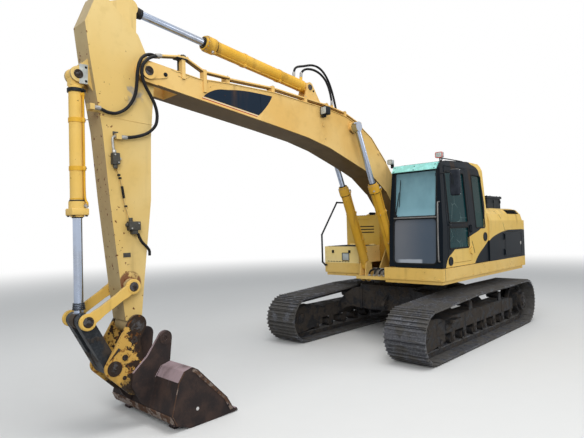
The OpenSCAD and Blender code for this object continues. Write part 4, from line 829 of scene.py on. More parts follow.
# %% [markdown]
# The mirror hangs on a bent steel arm. Its shell is a plastic bowl with a flat rim, and the glass is set into the rim.
# The bowl is one box with wide rounded edges whose far side is pinched in, which is how such shells are moulded.

# %% Mirror
def bowl(bm, size, centre):
    """A finely divided box that narrows towards +X."""
    bmesh.ops.create_cube(bm, size=1.0, matrix=Matrix.Diagonal((*size, 1)))
    bmesh.ops.subdivide_edges(bm, edges=bm.edges[:], cuts=4, use_grid_fill=True)
    for v in bm.verts:
        depth = (v.co.x / size[0] + 0.5) ** 2
        v.co.y *= 1.0 - 0.2 * depth
        v.co.z *= 1.0 - 0.1 * depth
        v.co.y *= 1.0 - 0.1 * (abs(v.co.z) / (size[2] / 2)) ** 4
    bmesh.ops.translate(bm, vec=centre, verts=bm.verts[:])

mirror_shell = piece("mirror_shell", ("house", mirror_plastic, "trim"),
                     (bowl, (0.046, 0.168, 0.408), (1.162, 1.505, 2.595)), sharp=60)
soften = mirror_shell.modifiers.new("rounding", "SUBSURF")
soften.levels = soften.render_levels = 1
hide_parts("mirror")
piece("mirror_glass", ("house", mirror_face, "trim"), (box, (1.131, 1.434, 2.408), (1.139, 1.576, 2.782), 0.003))
tube("mirror_arm", TRIM, [(1.16, 1.205, 2.74), (1.168, 1.3, 2.746), (1.176, 1.4, 2.752), (1.184, 1.455, 2.735),
                          (1.188, 1.478, 2.69), (1.188, 1.482, 2.56)], 0.01)
piece("mirror_clamp", TRIM, (box, (1.176, 1.462, 2.57), (1.19, 1.502, 2.65), 0.005),
      (box, (1.1, 1.205, 2.715), (1.185, 1.232, 2.765), 0.006),
      *((bolt, (1.176, 1.452, z), (0, -1, 0), 0.008, 0.006) for z in (2.588, 2.632)))

# %% [markdown]
# On the shoulder of the hood, slanted louvres let hot air out. Each slat is a thin blade turned a little,
# and a dark sheet lies behind them. A loop sets them along the hood.

# %% Shoulder louvres
for side, name in ((1, "left"), (-1, "right")):
    low, high = Vector((0, side * 1.3159, 2.1354)), Vector((0, side * 1.2411, 2.2146))
    normal, lean = Vector((0, side * 0.727, 0.687)), Vector((0.016, 0, 0))
    blades = []
    for k in range(15):
        a, b = (end + Vector((-2.08 + 0.041 * k, 0, 0)) for end in (low, high))
        quad = (a - normal * 0.004, b - normal * 0.004, b + normal * 0.01 + lean, a + normal * 0.01 + lean)
        blades.append((slab, quad, (0.005, 0, 0)))
    piece("shoulder_slats_" + name, DARK, *blades)
    quad = [end + Vector((x, 0, 0)) + normal * 0.0008 for x, end in
            ((-2.1, low), (-2.1, high), (-1.49, high), (-1.49, low))]
    piece("shoulder_vent_" + name, GRILLE, (slab, quad, normal * 0.001))

# %% [markdown]
# Where two body panels meet there is a dark joint line. It curves up over the flank and along the hood's lower edge.

# %% Panel joint lines
FLANK_Y = 1.3562
FLANK = [(1.29, 1.356), (2.01, 1.356), (2.13, 1.321), (2.22, 1.236), (2.25, 1.116)]
JOINT_ARC = [(-0.8, 2.246), (-0.847, 2.225), (-0.93, 2.18), (-1.01, 2.12), (-1.075, 2.05), (-1.14, 1.96),
             (-1.18, 1.89), (-1.205, 1.83)]
for side, name in ((1, "left"), (-1, "right")):
    strip("panel_joint_" + name, GRILLE, [(x, side * between(z, FLANK), z) for x, z in JOINT_ARC],
          0.009, 0.0015, (0, side, 0.3))
    strip("hood_joint_" + name, GRILLE, [(x, side * FLANK_Y, 1.828) for x in (-1.205, -1.6, -2.176)],
          0.008, 0.0012, (0, side, 0))

# %% [markdown]
# The service doors get what a hand needs: a flush lock in a cup, two stiffening ribs and the bolts of their hinges.

# %% Service door fittings
for side, body in ((1, "side_door_left"), (-1, "side_door_right")):
    piece(body + "_lock", (body, fitting_zinc, "trim"),
          (ring, (-2.05, side * 1.357, 1.56), (0, 1, 0), 0.02, 0.034, 0.006, 28),
          (bar, (-2.05, side * 1.352, 1.56), (-2.05, side * 1.36, 1.56), 0.02, 20, 0.003),
          (box, (-2.072, side * 1.3575 - 0.002, 1.553), (-2.028, side * 1.3575 + 0.003, 1.567), 0.002),
          *((bolt, (x, side * 1.357, z + dz), (0, side, 0), 0.007, 0.004, False)
            for z in (1.4, 1.736) for x in (-1.211, -1.195) for dz in (0.028, -0.028)))
    framed(body + "_press_line", (body, black_paint, "black_paint"), (-2.095, -1.25, 1.356, 1.776, 0.03),
           lambda x, z: (x, side * FLANK_Y, z), 0.012, 0.003, (0, side, 0))
piece("right_door_louvres", ("side_door_right", black_paint, "black_paint"),
      *((box, (x, -1.3605, z), (x + 0.05, -1.3555, z + 0.016), 0.004, 2)
        for z in row(1.42, 0.075, 4) for x in row(-2.02, 0.072, 9)))

# %% [markdown]
# The hood's lid is pressed sheet with raised ribs, and it closes with two rubber-topped latches.

# %% Hood ribs and latches
piece("hood_ribs", ("hood", house_paint, "body_paint"),
      *((box, (x - 0.018, -0.72, 2.309), (x + 0.018, 0.72, 2.318), 0.006, 3) for x in row(-2.02, 0.19, 5)))
piece("hood_latches", ("hood", rubber, "black_paint"), *(step for y in (-0.55, 0.55) for step in (
    (box, (-2.178, y - 0.03, 2.27), (-2.15, y + 0.03, 2.305), 0.006, 3),
    (bar, (-2.166, y, 2.262), (-2.166, y, 2.272), 0.016, 14, 0.002))))

# %% [markdown]
# A walkway beside the hood has a mat with punched teeth, so that boots do not slip. A tooth is a short cone.

# %% Anti-slip mats
def slip_mat(name, low, high, body, spacing=0.045):
    """A thin mat with teeth in rows."""
    nx, ny = (int((high[i] - low[i]) / spacing) for i in (0, 1))
    spots = [(low[0] + (i + 0.5) * (high[0] - low[0]) / nx, low[1] + (j + 0.5) * (high[1] - low[1]) / ny)
             for i in range(nx) for j in range(ny)]
    piece(name, (body, black_paint, "black_paint"), (box, low, high, 0.003, 1),
          *((bar, (x, y, high[2] - 0.001), (x, y, high[2] + 0.005), 0.01, 6, 0.0, 0.006) for x, y in spots))

slip_mat("walk_mat", (-1.12, -1.08, 2.2495), (-0.52, 0.38, 2.2535), "house", 0.055)
slip_mat("tank_mat", (-0.44, -1.3, 2.1895), (0.04, -0.64, 2.1935), "house", 0.055)
slip_mat("box_lid_mat", (0.13, -1.33, 1.5995), (0.78, -0.58, 1.6035), "box_lid")

# %% [markdown]
# The fuel tank has a filler neck with a strapped cap, a drain, and a slotted step in its front face.

# %% Fuel tank fittings
piece("filler_cap", DARK, (bar, (-0.33, -0.99, 2.19), (-0.33, -0.99, 2.222), 0.058, 32, 0.004),
      (bar, (-0.33, -0.99, 2.222), (-0.33, -0.99, 2.252), 0.07, 12, 0.008),
      (box, (-0.412, -1.0, 2.25), (-0.248, -0.98, 2.258), 0.002))
piece("tank_step_slots", GRILLE,
      *((box, (0.0695, -1.02, z), (0.0745, -0.69, z + 0.02), 0.002, 2) for z in row(1.842, 0.058, 3)))
strip("tank_seam", ("house", tank_paint, "body_paint"), [(0.0715, y, 2.12) for y in (-1.3, -0.96, -0.62)],
      0.012, 0.003, (1, 0, 0))

# %% [markdown]
# The toolbox in front of the tank is a step too: a lamp looks out of a square opening, and slots are cut below it.

# %% Toolbox face
framed("box_lamp_rim", ("house", black_paint, "body_paint"), (-0.935, -0.775, 1.338, 1.478, 0.014),
       lambda y, z: (0.8005, y, z), 0.012, 0.008, (1, 0, 0))
piece("box_lamp_lens", ("house", lens, "trim"), (box, (0.799, -0.928, 1.345), (0.804, -0.782, 1.471), 0.003, 2))
piece("box_slots", GRILLE,
      *((box, (0.7995, y, 1.31), (0.8035, y + 0.046, 1.322), 0.002, 2) for y in row(-1.29, 0.068, 8)),
      *((box, (0.8, y - 0.022, 1.478), (0.818, y + 0.022, 1.532), 0.005, 3) for y in (-1.15, -0.76)))

# %% [markdown]
# The skirts are folded plates. A joint shows beside the cab's corner, and bolts hold them to the deck.

# %% Skirt joints and bolts
strip("skirt_joint_front", GRILLE, [(1.26, 1.3565, z) for z in (1.108, 1.2, 1.288)], 0.007, 0.0012, (0, 1, 0))
SKIRT_BOLTS = [((x, side * 1.356), (0, side, 0)) for side, count in ((1, 10), (-1, 9)) for x in row(-2.05, 0.33, count)]
SKIRT_BOLTS += [((1.338, y), (1, 0, 0)) for y in (0.42, 0.72, 1.02, 1.28)]
SKIRT_BOLTS += [((0.8, y), (1, 0, 0)) for y in (-1.28, -1.0, -0.72)]
piece("skirt_bolts", ("house", skirt_paint, "body_paint"),
      *((bolt, (*place, 1.135), out, 0.01, 0.006) for place, out in SKIRT_BOLTS))
print("house trim done")

# %% [markdown]
# The driver's seat is foam in a sewn cover. The seams hold the cloth down, and the foam pushes it up between them.
# A cloth simulation does just that: air pressure blows the cover up while the seam lines stay pinned.
# How far it may swell is capped, because real foam is firm.

# %% Seat cushions
SEAT_MIDDLE, SEAM = 0.8685, 0.006

def swell(pad, seams, cap=0.024):
    """Blows a pad up between its seams: remesh, pinned cloth under pressure, then the capped result."""
    skin = pad.modifiers.new("skin", "REMESH")
    skin.mode, skin.voxel_size = "VOXEL", 0.009
    flat = bpy.data.meshes.new_from_object(pad.evaluated_get(bpy.context.evaluated_depsgraph_get()))
    pad.modifiers.clear()
    pad.data = flat
    start = [v.co.copy() for v in flat.vertices]
    pins = pad.vertex_groups.new(name="seams")
    pins.add([v.index for v in flat.vertices if seams(v.co)], 1.0, "ADD")
    cover = pad.modifiers.new("cover", "CLOTH").settings
    cover.use_pressure, cover.uniform_pressure_force = True, 4.0
    cover.effector_weights.gravity = 0.0
    cover.vertex_group_mass = "seams"
    for frame_number in range(1, 21):
        bpy.context.scene.frame_set(frame_number)
    blown = pad.evaluated_get(bpy.context.evaluated_depsgraph_get()).data
    moved = [v.co.copy() for v in blown.vertices]
    pad.modifiers.clear()
    bpy.context.scene.frame_set(1)
    for v, a, b in zip(flat.vertices, start, moved):
        v.co = a + (b - a) * min(1.0, cap / max((b - a).length, 1e-6))
    bm = bmesh.new()
    bm.from_mesh(flat)
    bmesh.ops.smooth_vert(bm, verts=bm.verts, factor=0.5, use_axis_x=True, use_axis_y=True, use_axis_z=True)
    bm.to_mesh(flat)
    bm.free()
    flat.shade_smooth()
    fine = pad.modifiers.new("fine", "SUBSURF")
    fine.levels = fine.render_levels = 1

def seam_lines(co, middle, rim, level, cross_seams):
    """True on the lengthwise seams at two distances from the seat's middle, and on the seams across between them."""
    off = abs(co.y - SEAT_MIDDLE)
    across = min(abs(off - middle), abs(off - rim)) < SEAM
    return across or (min(abs(level - s) for s in cross_seams) < SEAM and off < middle)

def seat_seams(co): return (co.z > 1.79 and seam_lines(co, 0.15, 0.225, co.x, (0.2, 0.36))) or co.z < 1.735
def back_seams(co): return (co.x > 0.0 and seam_lines(co, 0.13, 0.205, co.z, (1.93, 2.12))) or co.x < -0.066

for name, low, high, seams in (("seat_pad", (0.064, 0.642, 1.726), (0.496, 1.095, 1.812), seat_seams),
                               ("back_pad", (-0.072, 0.662, 1.754), (0.008, 1.075, 2.348), back_seams)):
    pad = piece(name, ("house", cloth, "cushion"), (box, low, high, 0.034, 3), sharp=180)
    swell(pad, seams)
    if name == "seat_pad":
        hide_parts("seat_cushions")
    print(name, len(pad.data.vertices), "vertices")

# %% [markdown]
# Round the seat stand two consoles. Each has an armrest and a joystick with a rubber boot.
# A boot is one profile spun about the stick, and the grip is a bar that is thicker where the hand closes.

# %% Consoles and joysticks
def spun(bm, centre, profile, sides=24):
    """A round shape from (radius, height) pairs, spun about Z."""
    c = Vector(centre)
    verts = [bm.verts.new(c + Vector((r, 0, h))) for r, h in profile]
    edges = [bm.edges.new(pair) for pair in zip(verts, verts[1:])]
    bmesh.ops.spin(bm, geom=verts + edges, cent=c, axis=(0, 0, 1), angle=math.tau, steps=sides, use_merge=True,
                   use_duplicate=False)
    bmesh.ops.remove_doubles(bm, verts=bm.verts, dist=1e-5)
    bmesh.ops.holes_fill(bm, edges=[e for e in bm.edges if e.is_boundary])
    bmesh.ops.recalc_face_normals(bm, faces=bm.faces)

BOOT = [(0.046, 0.0), (0.046, 0.012), (0.036, 0.02), (0.04, 0.03), (0.03, 0.038), (0.034, 0.048), (0.023, 0.056),
        (0.018, 0.07)]
GRIP = [(0.001, 0.0), (0.015, 0.0), (0.019, 0.022), (0.022, 0.06), (0.018, 0.085), (0.025, 0.104), (0.026, 0.126),
        (0.016, 0.138), (0.001, 0.14)]
CONSOLES = (0.5585, 1.1785)
piece("armrests_and_boots", SEAL, *(step for y in CONSOLES for step in (
    (box, (0.11, y - 0.05, 1.905), (0.33, y + 0.05, 1.945), 0.016, 4), (spun, (0.45, y, 1.909), BOOT))))
piece("joystick_grips", ("house", cab_plastic, "trim"), *((spun, (0.45, y, 1.975), GRIP) for y in CONSOLES),
      *((bar, (0.462, y + dy, 2.098), (0.47, y + dy, 2.106), 0.005, 10, 0.001)
        for y in CONSOLES for dy in (-0.014, 0.0, 0.014)))

# %% [markdown]
# On the floor lies a ribbed rubber mat. Two travel levers with pedals stand ahead of the seat,
# and a monitor is clamped to the right front post. Its screen is a separate dark pane.

# %% Floor mat, levers and monitor
screen = Finish("screen", Coat_Weight=1.0)
glow = screen.fade(screen.grain(6.0), 0.45, 0.6)
screen.use(Base_Color=screen.mix(glow, (0.01, 0.016, 0.02), (0.02, 0.035, 0.042)),
           Roughness=0.12 + screen.grain(30.0) * 0.08)
LEVERS = (0.7935, 0.9435)
piece("mat_and_lever_grips", SEAL,
      *((box, (x, 0.48, 1.35), (x + 0.011, 1.25, 1.356), 0.003, 1) for x in row(0.56, 0.022, 26)),
      *((bar, (0.9, y, 1.95), (0.892, y, 2.035), 0.021, 16, 0.006) for y in LEVERS),
      *((box, (x, y - 0.04, 1.402), (x + 0.012, y + 0.04, 1.41), 0.002, 1)
        for y in LEVERS for x in row(0.88, 0.03, 5)))
piece("monitor_screen", ("house", screen, "trim"), (box, (0.787, 0.47, 1.978), (0.7905, 0.634, 2.092), 0.002, 1))
piece("monitor_keys", ("house", mirror_plastic, "trim"),
      *((bar, (0.7905, y, 1.963), (0.786, y, 1.963), 0.006, 12, 0.001) for y in row(0.484, 0.034, 5)))
print("driver's place done")

# %% [markdown]
# The boom is a box of welded plates. Its top and bottom plates stand a little proud of its sides, which gives every
# edge a step, and each joint of two side plates shows as a weld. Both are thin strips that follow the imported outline.

# %% Boom plate edges and welds
BOOM = ("main_boom", boom_paint, "body_paint")
UPPER_EDGE = [(0.99, 3.06), (1.41, 3.43), (1.681, 3.563), (2.078, 3.68), (2.522, 3.73), (2.996, 3.745),
              (3.646, 3.768), (4.41, 3.735), (4.852, 3.7), (5.13, 3.724)]
LOWER_EDGE = [(0.99, 2.53), (1.41, 2.79), (1.681, 2.888), (2.078, 3.01), (2.522, 3.145), (2.996, 3.24),
              (3.646, 3.32), (4.41, 3.405), (4.852, 3.452), (5.38, 3.512)]
BOOM_WELDS = [[(1.7, 3.56), (1.79, 3.25), (1.76, 2.925)], [(3.9, 3.74), (3.88, 3.37)],
              [(4.96, 3.7), (5.03, 3.655), (5.128, 3.668)], [(5.128, 3.705), (5.215, 3.722)]]
BOOM_PLUGS = [(1.21, 3.194, 0.036), (2.64, 3.47, 0.03)]
for side, name in ((1, "left"), (-1, "right")):
    for edge, line, lift in (("top", UPPER_EDGE, -0.008), ("bottom", LOWER_EDGE, 0.008)):
        strip(f"boom_{edge}_edge_{name}", BOOM, [(x, side * 0.2048, z + lift) for x, z in line], 0.014, 0.009,
              (0, side, 0))
    piece("boom_welds_" + name, BOOM,
          *((bead, [(x, side * 0.2052, z) for x, z in line], 0.0045) for line in BOOM_WELDS),
          *((bar, (x, side * 0.204, z), (x, side * 0.211, z), r, 32, 0.002) for x, z, r in BOOM_PLUGS))

# %% [markdown]
# A pin joins every two parts of the arm. Its head is a turned disc with a grease nipple, and a keeper plate with one
# bolt stops it from turning. One function makes such a head, so all the pins look alike, as they do on the machine.

# %% Pin heads
STICK_PIN, STICK_RAM_BASE, STICK_RAM_EYE = (5.49, 3.64), (2.77, 4.03), (5.6, 4.33)
CURL_BASE, LINK_PIN, GUIDE_PIN = (6.16, 3.5), (6.165, 1.136), (5.7, 1.42)
BUCKET_PIN, PUSH_PIN = (5.65, 1.03), (5.9, 0.64)

def pin_head(bm, place, y, radius):
    """A turned pin head on the face at y, with a raised rim and a grease nipple."""
    side = 1 if y > 0 else -1
    def out(d): return (place[0], y + side * d, place[1])
    ring(bm, out(0.008), (0, 1, 0), radius * 0.66, radius * 0.9, 0.006, 40)
    for d0, d1, r, sides, edge in ((-0.002, 0.006, radius, 40, 0.002), (0.004, 0.011, radius * 0.34, 20, 0.002),
                                   (0.01, 0.02, 0.006, 6, 0.0), (0.02, 0.026, 0.004, 8, 0.001)):
        bar(bm, out(d0), out(d1), r, sides, edge)

HEADS = {"main_boom": [(STICK_PIN, 0.2255, 0.05), (STICK_RAM_BASE, 0.0765, 0.044)],
         "arm": [(GUIDE_PIN, 0.2075, 0.046), (CURL_BASE, 0.0765, 0.044)],
         "guide_links": [(LINK_PIN, 0.2073, 0.05)], "push_link": [(LINK_PIN, 0.1292, 0.04)],
         "digging_bucket": [(PUSH_PIN, 0.1712, 0.048)]}
for body, heads in HEADS.items():
    piece(body + "_pin_heads", (body, pin_steel, "link_steel"),
          *((pin_head, place, side * y, radius) for place, y, radius in heads for side in (1, -1)))

blank_plate = satin("blank_plate", (0.42, 0.44, 0.42), 0.45, 0.3)
RAM_EAR = 0.077
KEEPERS = [("main_boom", boom_paint, [(5.45, 3.715), (5.285, 3.682), (5.258, 3.664), (5.256, 3.622), (5.282, 3.604),
                                      (5.44, 3.566)], 0.2055, 0.215,
            [(5.29, 0.215, 3.643, 0.017), (2.7, RAM_EAR, 3.985, 0.011)]),
           ("arm", blank_plate, [(6.152, 3.602), (6.066, 3.606), (6.07, 3.414), (6.154, 3.41)], 0.0712, RAM_EAR,
            [(6.088, RAM_EAR, 3.575, 0.009), (6.088, RAM_EAR, 3.44, 0.009)])]
for body, finish, outline, inner, outer, bolts in KEEPERS:
    piece(body + "_pin_keepers", (body, finish, "body_paint"),
          *((plate, outline, side * inner, side * outer, 0.002) for side in (1, -1)))
    piece(body + "_keeper_bolts", (body, black_paint, "black_paint"),
          *((bolt, (x, side * y, z), (0, side, 0), size, size * 0.75) for side in (1, -1) for x, y, z, size in bolts))
print("boom plates and pins done")

# %% [markdown]
# A ram is a tube with a welded base and a bolted gland. Oil reaches the gland end through a thin pipe on the tube's
# flank, held by two bands. A ram has its own direction, so a small class gives places along it and round it.

# %% Rams
class Ram:
    """Places along a ram from its base pin to its eye: distance, turn round the tube in degrees, and radius."""
    def __init__(self, base, eye, y=0.0):
        self.base = Vector((base[0], y, base[1]))
        way = Vector((eye[0], y, eye[1])) - self.base
        self.reach, self.along = way.length, way.normalized()
        self.up = self.along.cross(Vector((0, 1, 0)))

    def at(self, distance, turn=0.0, radius=0.0):
        t = math.radians(turn)
        return self.base + self.along * distance + (self.up * math.cos(t) + Vector((0, 1, 0)) * math.sin(t)) * radius

    def ring(self, distance, inner, outer, width, sides=40):
        return (ring, self.at(distance), self.along, inner, outer, width, sides)

def dress_ram(body, ram, length, r, pipes):
    """Bolts, bands, gland edge, flank pipes and their unions of one ram whose tube has the radius r."""
    low_band, high_band, high = length * 0.32, length * 0.66, length - 0.105
    steel = [(bolt, ram.at(length - 0.03, 36 * k + 18, r + 0.002), ram.along, 0.0085, 0.008, False)
             for k in range(10)]
    painted = [ram.ring(d, r - 0.002, r + 0.004, 0.01) for d in (0.15, length - 0.175)]
    for d in (low_band, high_band):
        painted.append(ram.ring(d, r - 0.002, r + 0.006, 0.042))
        for turn in pipes:
            clip = [ram.at(d + s, turn, r + 0.014) for s in (-0.02, 0.02)]
            painted.append((bar, *clip, 0.021, 8, 0.002))
            steel.append((bolt, ram.at(d, turn, r + 0.032), ram.at(0, turn, 1) - ram.base, 0.007, 0.006, False))
    for k, turn in enumerate(pipes):
        low = 0.19 + 0.05 * k
        steel.append((bar, ram.at(high, turn, r + 0.01), ram.at(high, turn, r + 0.046), 0.018, 6, 0.002))
        painted.append((bar, ram.at(low, turn, r - 0.01), ram.at(low, turn, r + 0.022), 0.02, 16, 0.002))
        line = [ram.at(d, turn, r + lift) for d, lift in (
            (high, 0.04), (high - 0.03, 0.04), (high - 0.09, 0.018), (high_band, 0.015), (low_band, 0.015),
            (low + 0.06, 0.015), (low, 0.016))]
        tube(f"{body}_pipe_{k}", (body, ram_paint, "cylinder_paint"), line, 0.0105, 4)
    piece(body + "_bolts", (body, fitting_zinc, "link_steel"), *steel)
    piece(body + "_bands", (body, ram_paint, "cylinder_paint"), *painted)
    piece(body + "_gland_edges", (body, black_paint, "black_paint"),
          ram.ring(length - 0.155, r - 0.002, r + 0.008, 0.014), ram.ring(length + 0.004, r * 0.62, r * 0.8, 0.012))

LIFT_BASE, LIFT_EYE = (0.945, 1.27), (1.937, 3.52)
curl_ram, stick_ram = Ram(CURL_BASE, LINK_PIN), Ram(STICK_RAM_BASE, STICK_RAM_EYE)
dress_ram("lift_barrel_left", Ram(LIFT_BASE, LIFT_EYE, 0.3), 1.51, 0.074, (40, 150))
dress_ram("lift_barrel_right", Ram(LIFT_BASE, LIFT_EYE, -0.3), 1.51, 0.074, (-40, 30))
dress_ram("arm_barrel", stick_ram, 1.86, 0.084, (150,))
dress_ram("curl_barrel", curl_ram, 1.375, 0.064, (126,))

# %% [markdown]
# The rod's eye ends in a ribbed collar that keeps dirt off the wiper. At full reach it stays clear of the gland.

# %% Rod collars
for body, ram, back in (("curl_rod", curl_ram, 0.105), ("arm_rod", stick_ram, 0.1)):
    piece(body + "_collar", (body, link_steel, "link_steel"),
          *(ram.ring(ram.reach - back - 0.018 * k, 0.042, 0.06 - 0.002 * k, 0.011, 32) for k in range(4)))

# %% [markdown]
# Where the boom's pipes end, a black bracket clamps them, and each pipe block along the boom is bolted down.

# %% Pipe clamps
piece("tip_pipe_bracket", ("main_boom", black_paint, "black_paint"),
      (box, (5.006, 0.142, 3.856), (5.15, 0.23, 3.872), 0.003),
      (box, (5.02, 0.15, 3.7), (5.1, 0.158, 3.868), 0.003),
      (box, (5.03, 0.143, 3.898), (5.092, 0.228, 3.908), 0.003))
piece("pipe_clamp_bolts", ("main_boom", fitting_zinc, "link_steel"),
      *((bolt, (5.061, y, 3.908), (0, 0, 1), 0.008, 0.007) for y in (0.15, 0.185, 0.221)),
      *((bolt, (x, side * y, z + 0.082), (0, 0, 1), 0.0085, 0.007)
        for x, z in UPPER_EDGE[2:8] for y in (0.1, 0.142, 0.184) for side in (1, -1)))

# %% [markdown]
# Four pipes run down the boom's back to its foot, where short hoses join them to the house.
# They are hard lines here, because each ends inside the boom's foot and nothing hangs between.

# %% Pipes down the boom's back
BACK_LINE = [(1.681, 1.9, 3.623), (1.6, 1.9, 3.59), (1.375, 1.3, 3.462), (1.15, 1.0, 3.262), (0.947, 1.0, 3.062),
             (0.7, 1.0, 2.81), (0.44, 1.0, 2.52)]
for k, y in enumerate((-0.075, -0.028, 0.028, 0.075)):
    tube(f"back_pipe_{k}", BOOM, [(x, y * wide, z) for x, wide, z in BACK_LINE], 0.014, 4)
piece("back_pipe_clamps", ("main_boom", black_paint, "black_paint"),
      *((bar, (x - 0.0035, y - 0.045, z + 0.00357), (x - 0.0035, y + 0.045, z + 0.00357), 0.022, 8, 0.003)
        for x, z in ((1.29, 3.392), (0.83, 2.944), (0.56, 2.65)) for y in (-0.052, 0.052)))

# %% [markdown]
# The bucket's ram has a square flange with four bolts at its gland, and a black band clamps its pipe near the base.

# %% Band and gland flange of the bucket's ram
piece("curl_barrel_band", ("curl_barrel", black_paint, "black_paint"), curl_ram.ring(0.15, 0.063, 0.077, 0.034),
      *((bar, curl_ram.at(0.14, turn, 0.082), curl_ram.at(0.16, turn, 0.082), 0.016, 12, 0.002)
        for turn in (116, 136)))
flange, half = curl_ram.at(1.325), Vector((0.082, 0.082, 0.034))
piece("curl_gland_flange", ("curl_barrel", link_paint, "cylinder_paint"), (box, flange - half, flange + half, 0.01, 3))
piece("curl_gland_bolts", ("curl_barrel", pin_steel, "link_steel"),
      *((bolt, flange + Vector((dx, dy, -0.034)), (0, 0, -1), 0.012, 0.01)
        for dx in (-0.062, 0.062) for dy in (-0.062, 0.062)))
print("rams and pipes done")

# %% [markdown]
# The stick carries the valve that guards the bucket line: a block, an elbow from the hose, a thin pipe to a second
# block, and a short hose that tucks in behind the stick. A weld crosses its side where two plates meet.

# %% Stick fittings
STICK = ("arm", stick_paint, "body_paint")
STICK_HOSE = ("arm", rubber, "hose_rubber")
tube("valve_elbow", ("arm", fitting_zinc, "rod_chrome"),
     [(5.838, 0.16, 2.922), (5.862, 0.16, 2.915), (5.872, 0.16, 2.885), (5.868, 0.16, 2.82),
      (5.858, 0.16, 2.755)], 0.0125, 4, 12)
piece("valve_blocks", ("arm", block_grey, "black_paint"),
      (box, (5.812, 0.133, 2.64), (5.884, 0.196, 2.755), 0.006, 3),
      (bar, (5.85, 0.165, 2.6), (5.85, 0.165, 2.645), 0.022, 6, 0.003),
      (box, (5.604, 0.133, 1.985), (5.728, 0.2, 2.075), 0.007, 3),
      (box, (5.628, 0.133, 1.945), (5.69, 0.188, 1.99), 0.005, 2),
      (bar, (5.7, 0.166, 2.07), (5.7, 0.166, 2.112), 0.02, 6, 0.003),
      (bar, (5.728, 0.166, 2.04), (5.752, 0.166, 2.04), 0.018, 14, 0.004),
      (box, (5.8, 0.132, 2.94), (5.858, 0.14, 2.975), 0.003),
      (box, (5.69, 0.132, 1.715), (5.77, 0.138, 1.76), 0.003))
piece("valve_fittings", ("arm", fitting_zinc, "link_steel"),
      (bar, (5.858, 0.16, 2.75), (5.858, 0.16, 2.785), 0.02, 6, 0.002),
      (bar, (5.815, 0.164, 2.7), (5.79, 0.164, 2.7), 0.015, 6, 0.002),
      *((bolt, place, (0, 1, 0), 0.008, 0.006, False) for place in (
          (5.628, 0.199, 2.055), (5.704, 0.199, 2.005), (5.83, 0.195, 2.66), (5.866, 0.195, 2.735))))
tube("valve_line", STICK, [(5.832, 0.15, 2.64), (5.822, 0.146, 2.59), (5.784, 0.145, 2.485), (5.753, 0.145, 2.284),
                           (5.715, 0.147, 2.15), (5.7, 0.16, 2.1)], 0.0085, 4, 8)
tube("valve_tail_line", STICK_HOSE, [(5.618, 0.16, 1.95), (5.6, 0.16, 1.905), (5.565, 0.155, 1.855),
                                     (5.52, 0.15, 1.815), (5.486, 0.146, 1.77), (5.48, 0.14, 1.72)], 0.0145, 4)
tube("valve_line_sleeve", STICK_HOSE, [(5.776, 0.145, 2.43), (5.766, 0.145, 2.37), (5.757, 0.145, 2.31)],
     0.0125, 3, 8)
piece("valve_line_clips", ("arm", black_paint, "black_paint"),
      *((box, (x - 0.012, 0.133, z - 0.009), (x + 0.012, 0.158, z + 0.009), 0.002, 1)
        for x, z in ((5.806, 2.54), (5.795, 2.51), (5.738, 2.23))))
piece("stick_welds", STICK, *(step for side in (1, -1) for step in (
    (bead, [(x, side * 0.1325, z) for x, z in ((5.998, 3.118), (5.7, 3.109), (5.412, 3.1))], 0.0045),
    (bar, (5.7, side * 0.131, 3.33), (5.7, side * 0.137, 3.33), 0.024, 24, 0.002))))

# %% [markdown]
# The links and the quick coupler are cast steel. Bosses, ribs and cross pins stand on their faces,
# and each is bare and rusty where it rubs on its neighbour.

# %% Linkage bosses
def turned(tool, place, y, *sizes):
    """The step of a ring that lies on a side face."""
    return (tool, (place[0], y, place[1]), (0, 1, 0), *sizes)

def link_outline(first, second):
    """A dog-bone outline round two eyes: an arc of 275 degrees at each, and a narrower waist."""
    first, second = Vector((first[0], 0, first[1])), Vector((second[0], 0, second[1]))
    span, way = (second - first).length, (second - first).normalized()
    across = Vector((way.z, 0, -way.x))
    flat = []
    for s, r, sign in ((span, 0.08, 1), (0.0, 0.077, -1)):
        for a in (math.radians(k * 12.5 - 137.5) for k in range(23)):
            flat.append((s + sign * r * math.cos(a), sign * r * math.sin(a)))
        flat += [(span / 2 + sign * t, sign * w) for t, w in
                 ((0.165, 0.053), (0.11, 0.047), (-0.11, 0.047), (-0.165, 0.053))]
    spots = [first + way * s + across * w for s, w in flat]
    return [(spot.x, spot.z) for spot in spots]

piece("push_link_bosses", ("push_link", link_steel, "link_steel"), *(step for side in (1, -1) for step in (
    turned(ring, (6.076, 0.945), side * 0.1375, 0.022, 0.044, 0.005, 28),
    turned(ring, PUSH_PIN, side * 0.137, 0.046, 0.066, 0.005, 32),
    (box, (6.0, side * 0.137 - 0.003, 0.826), (6.022, side * 0.137 + 0.003, 0.856), 0.001))))
forgings = []
for side in (1, -1):
    forgings.append((plate, link_outline(GUIDE_PIN, LINK_PIN), side * 0.174, side * 0.2064, 0.003))
    forgings += [turned(ring, place, side * 0.209, r - 0.014, r, 0.005, 36)
                 for place, r in ((GUIDE_PIN, 0.064), (LINK_PIN, 0.068))]
links = piece("guide_link_forgings", ("guide_links", link_paint, "cylinder_paint"), *forgings)
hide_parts("side_links")

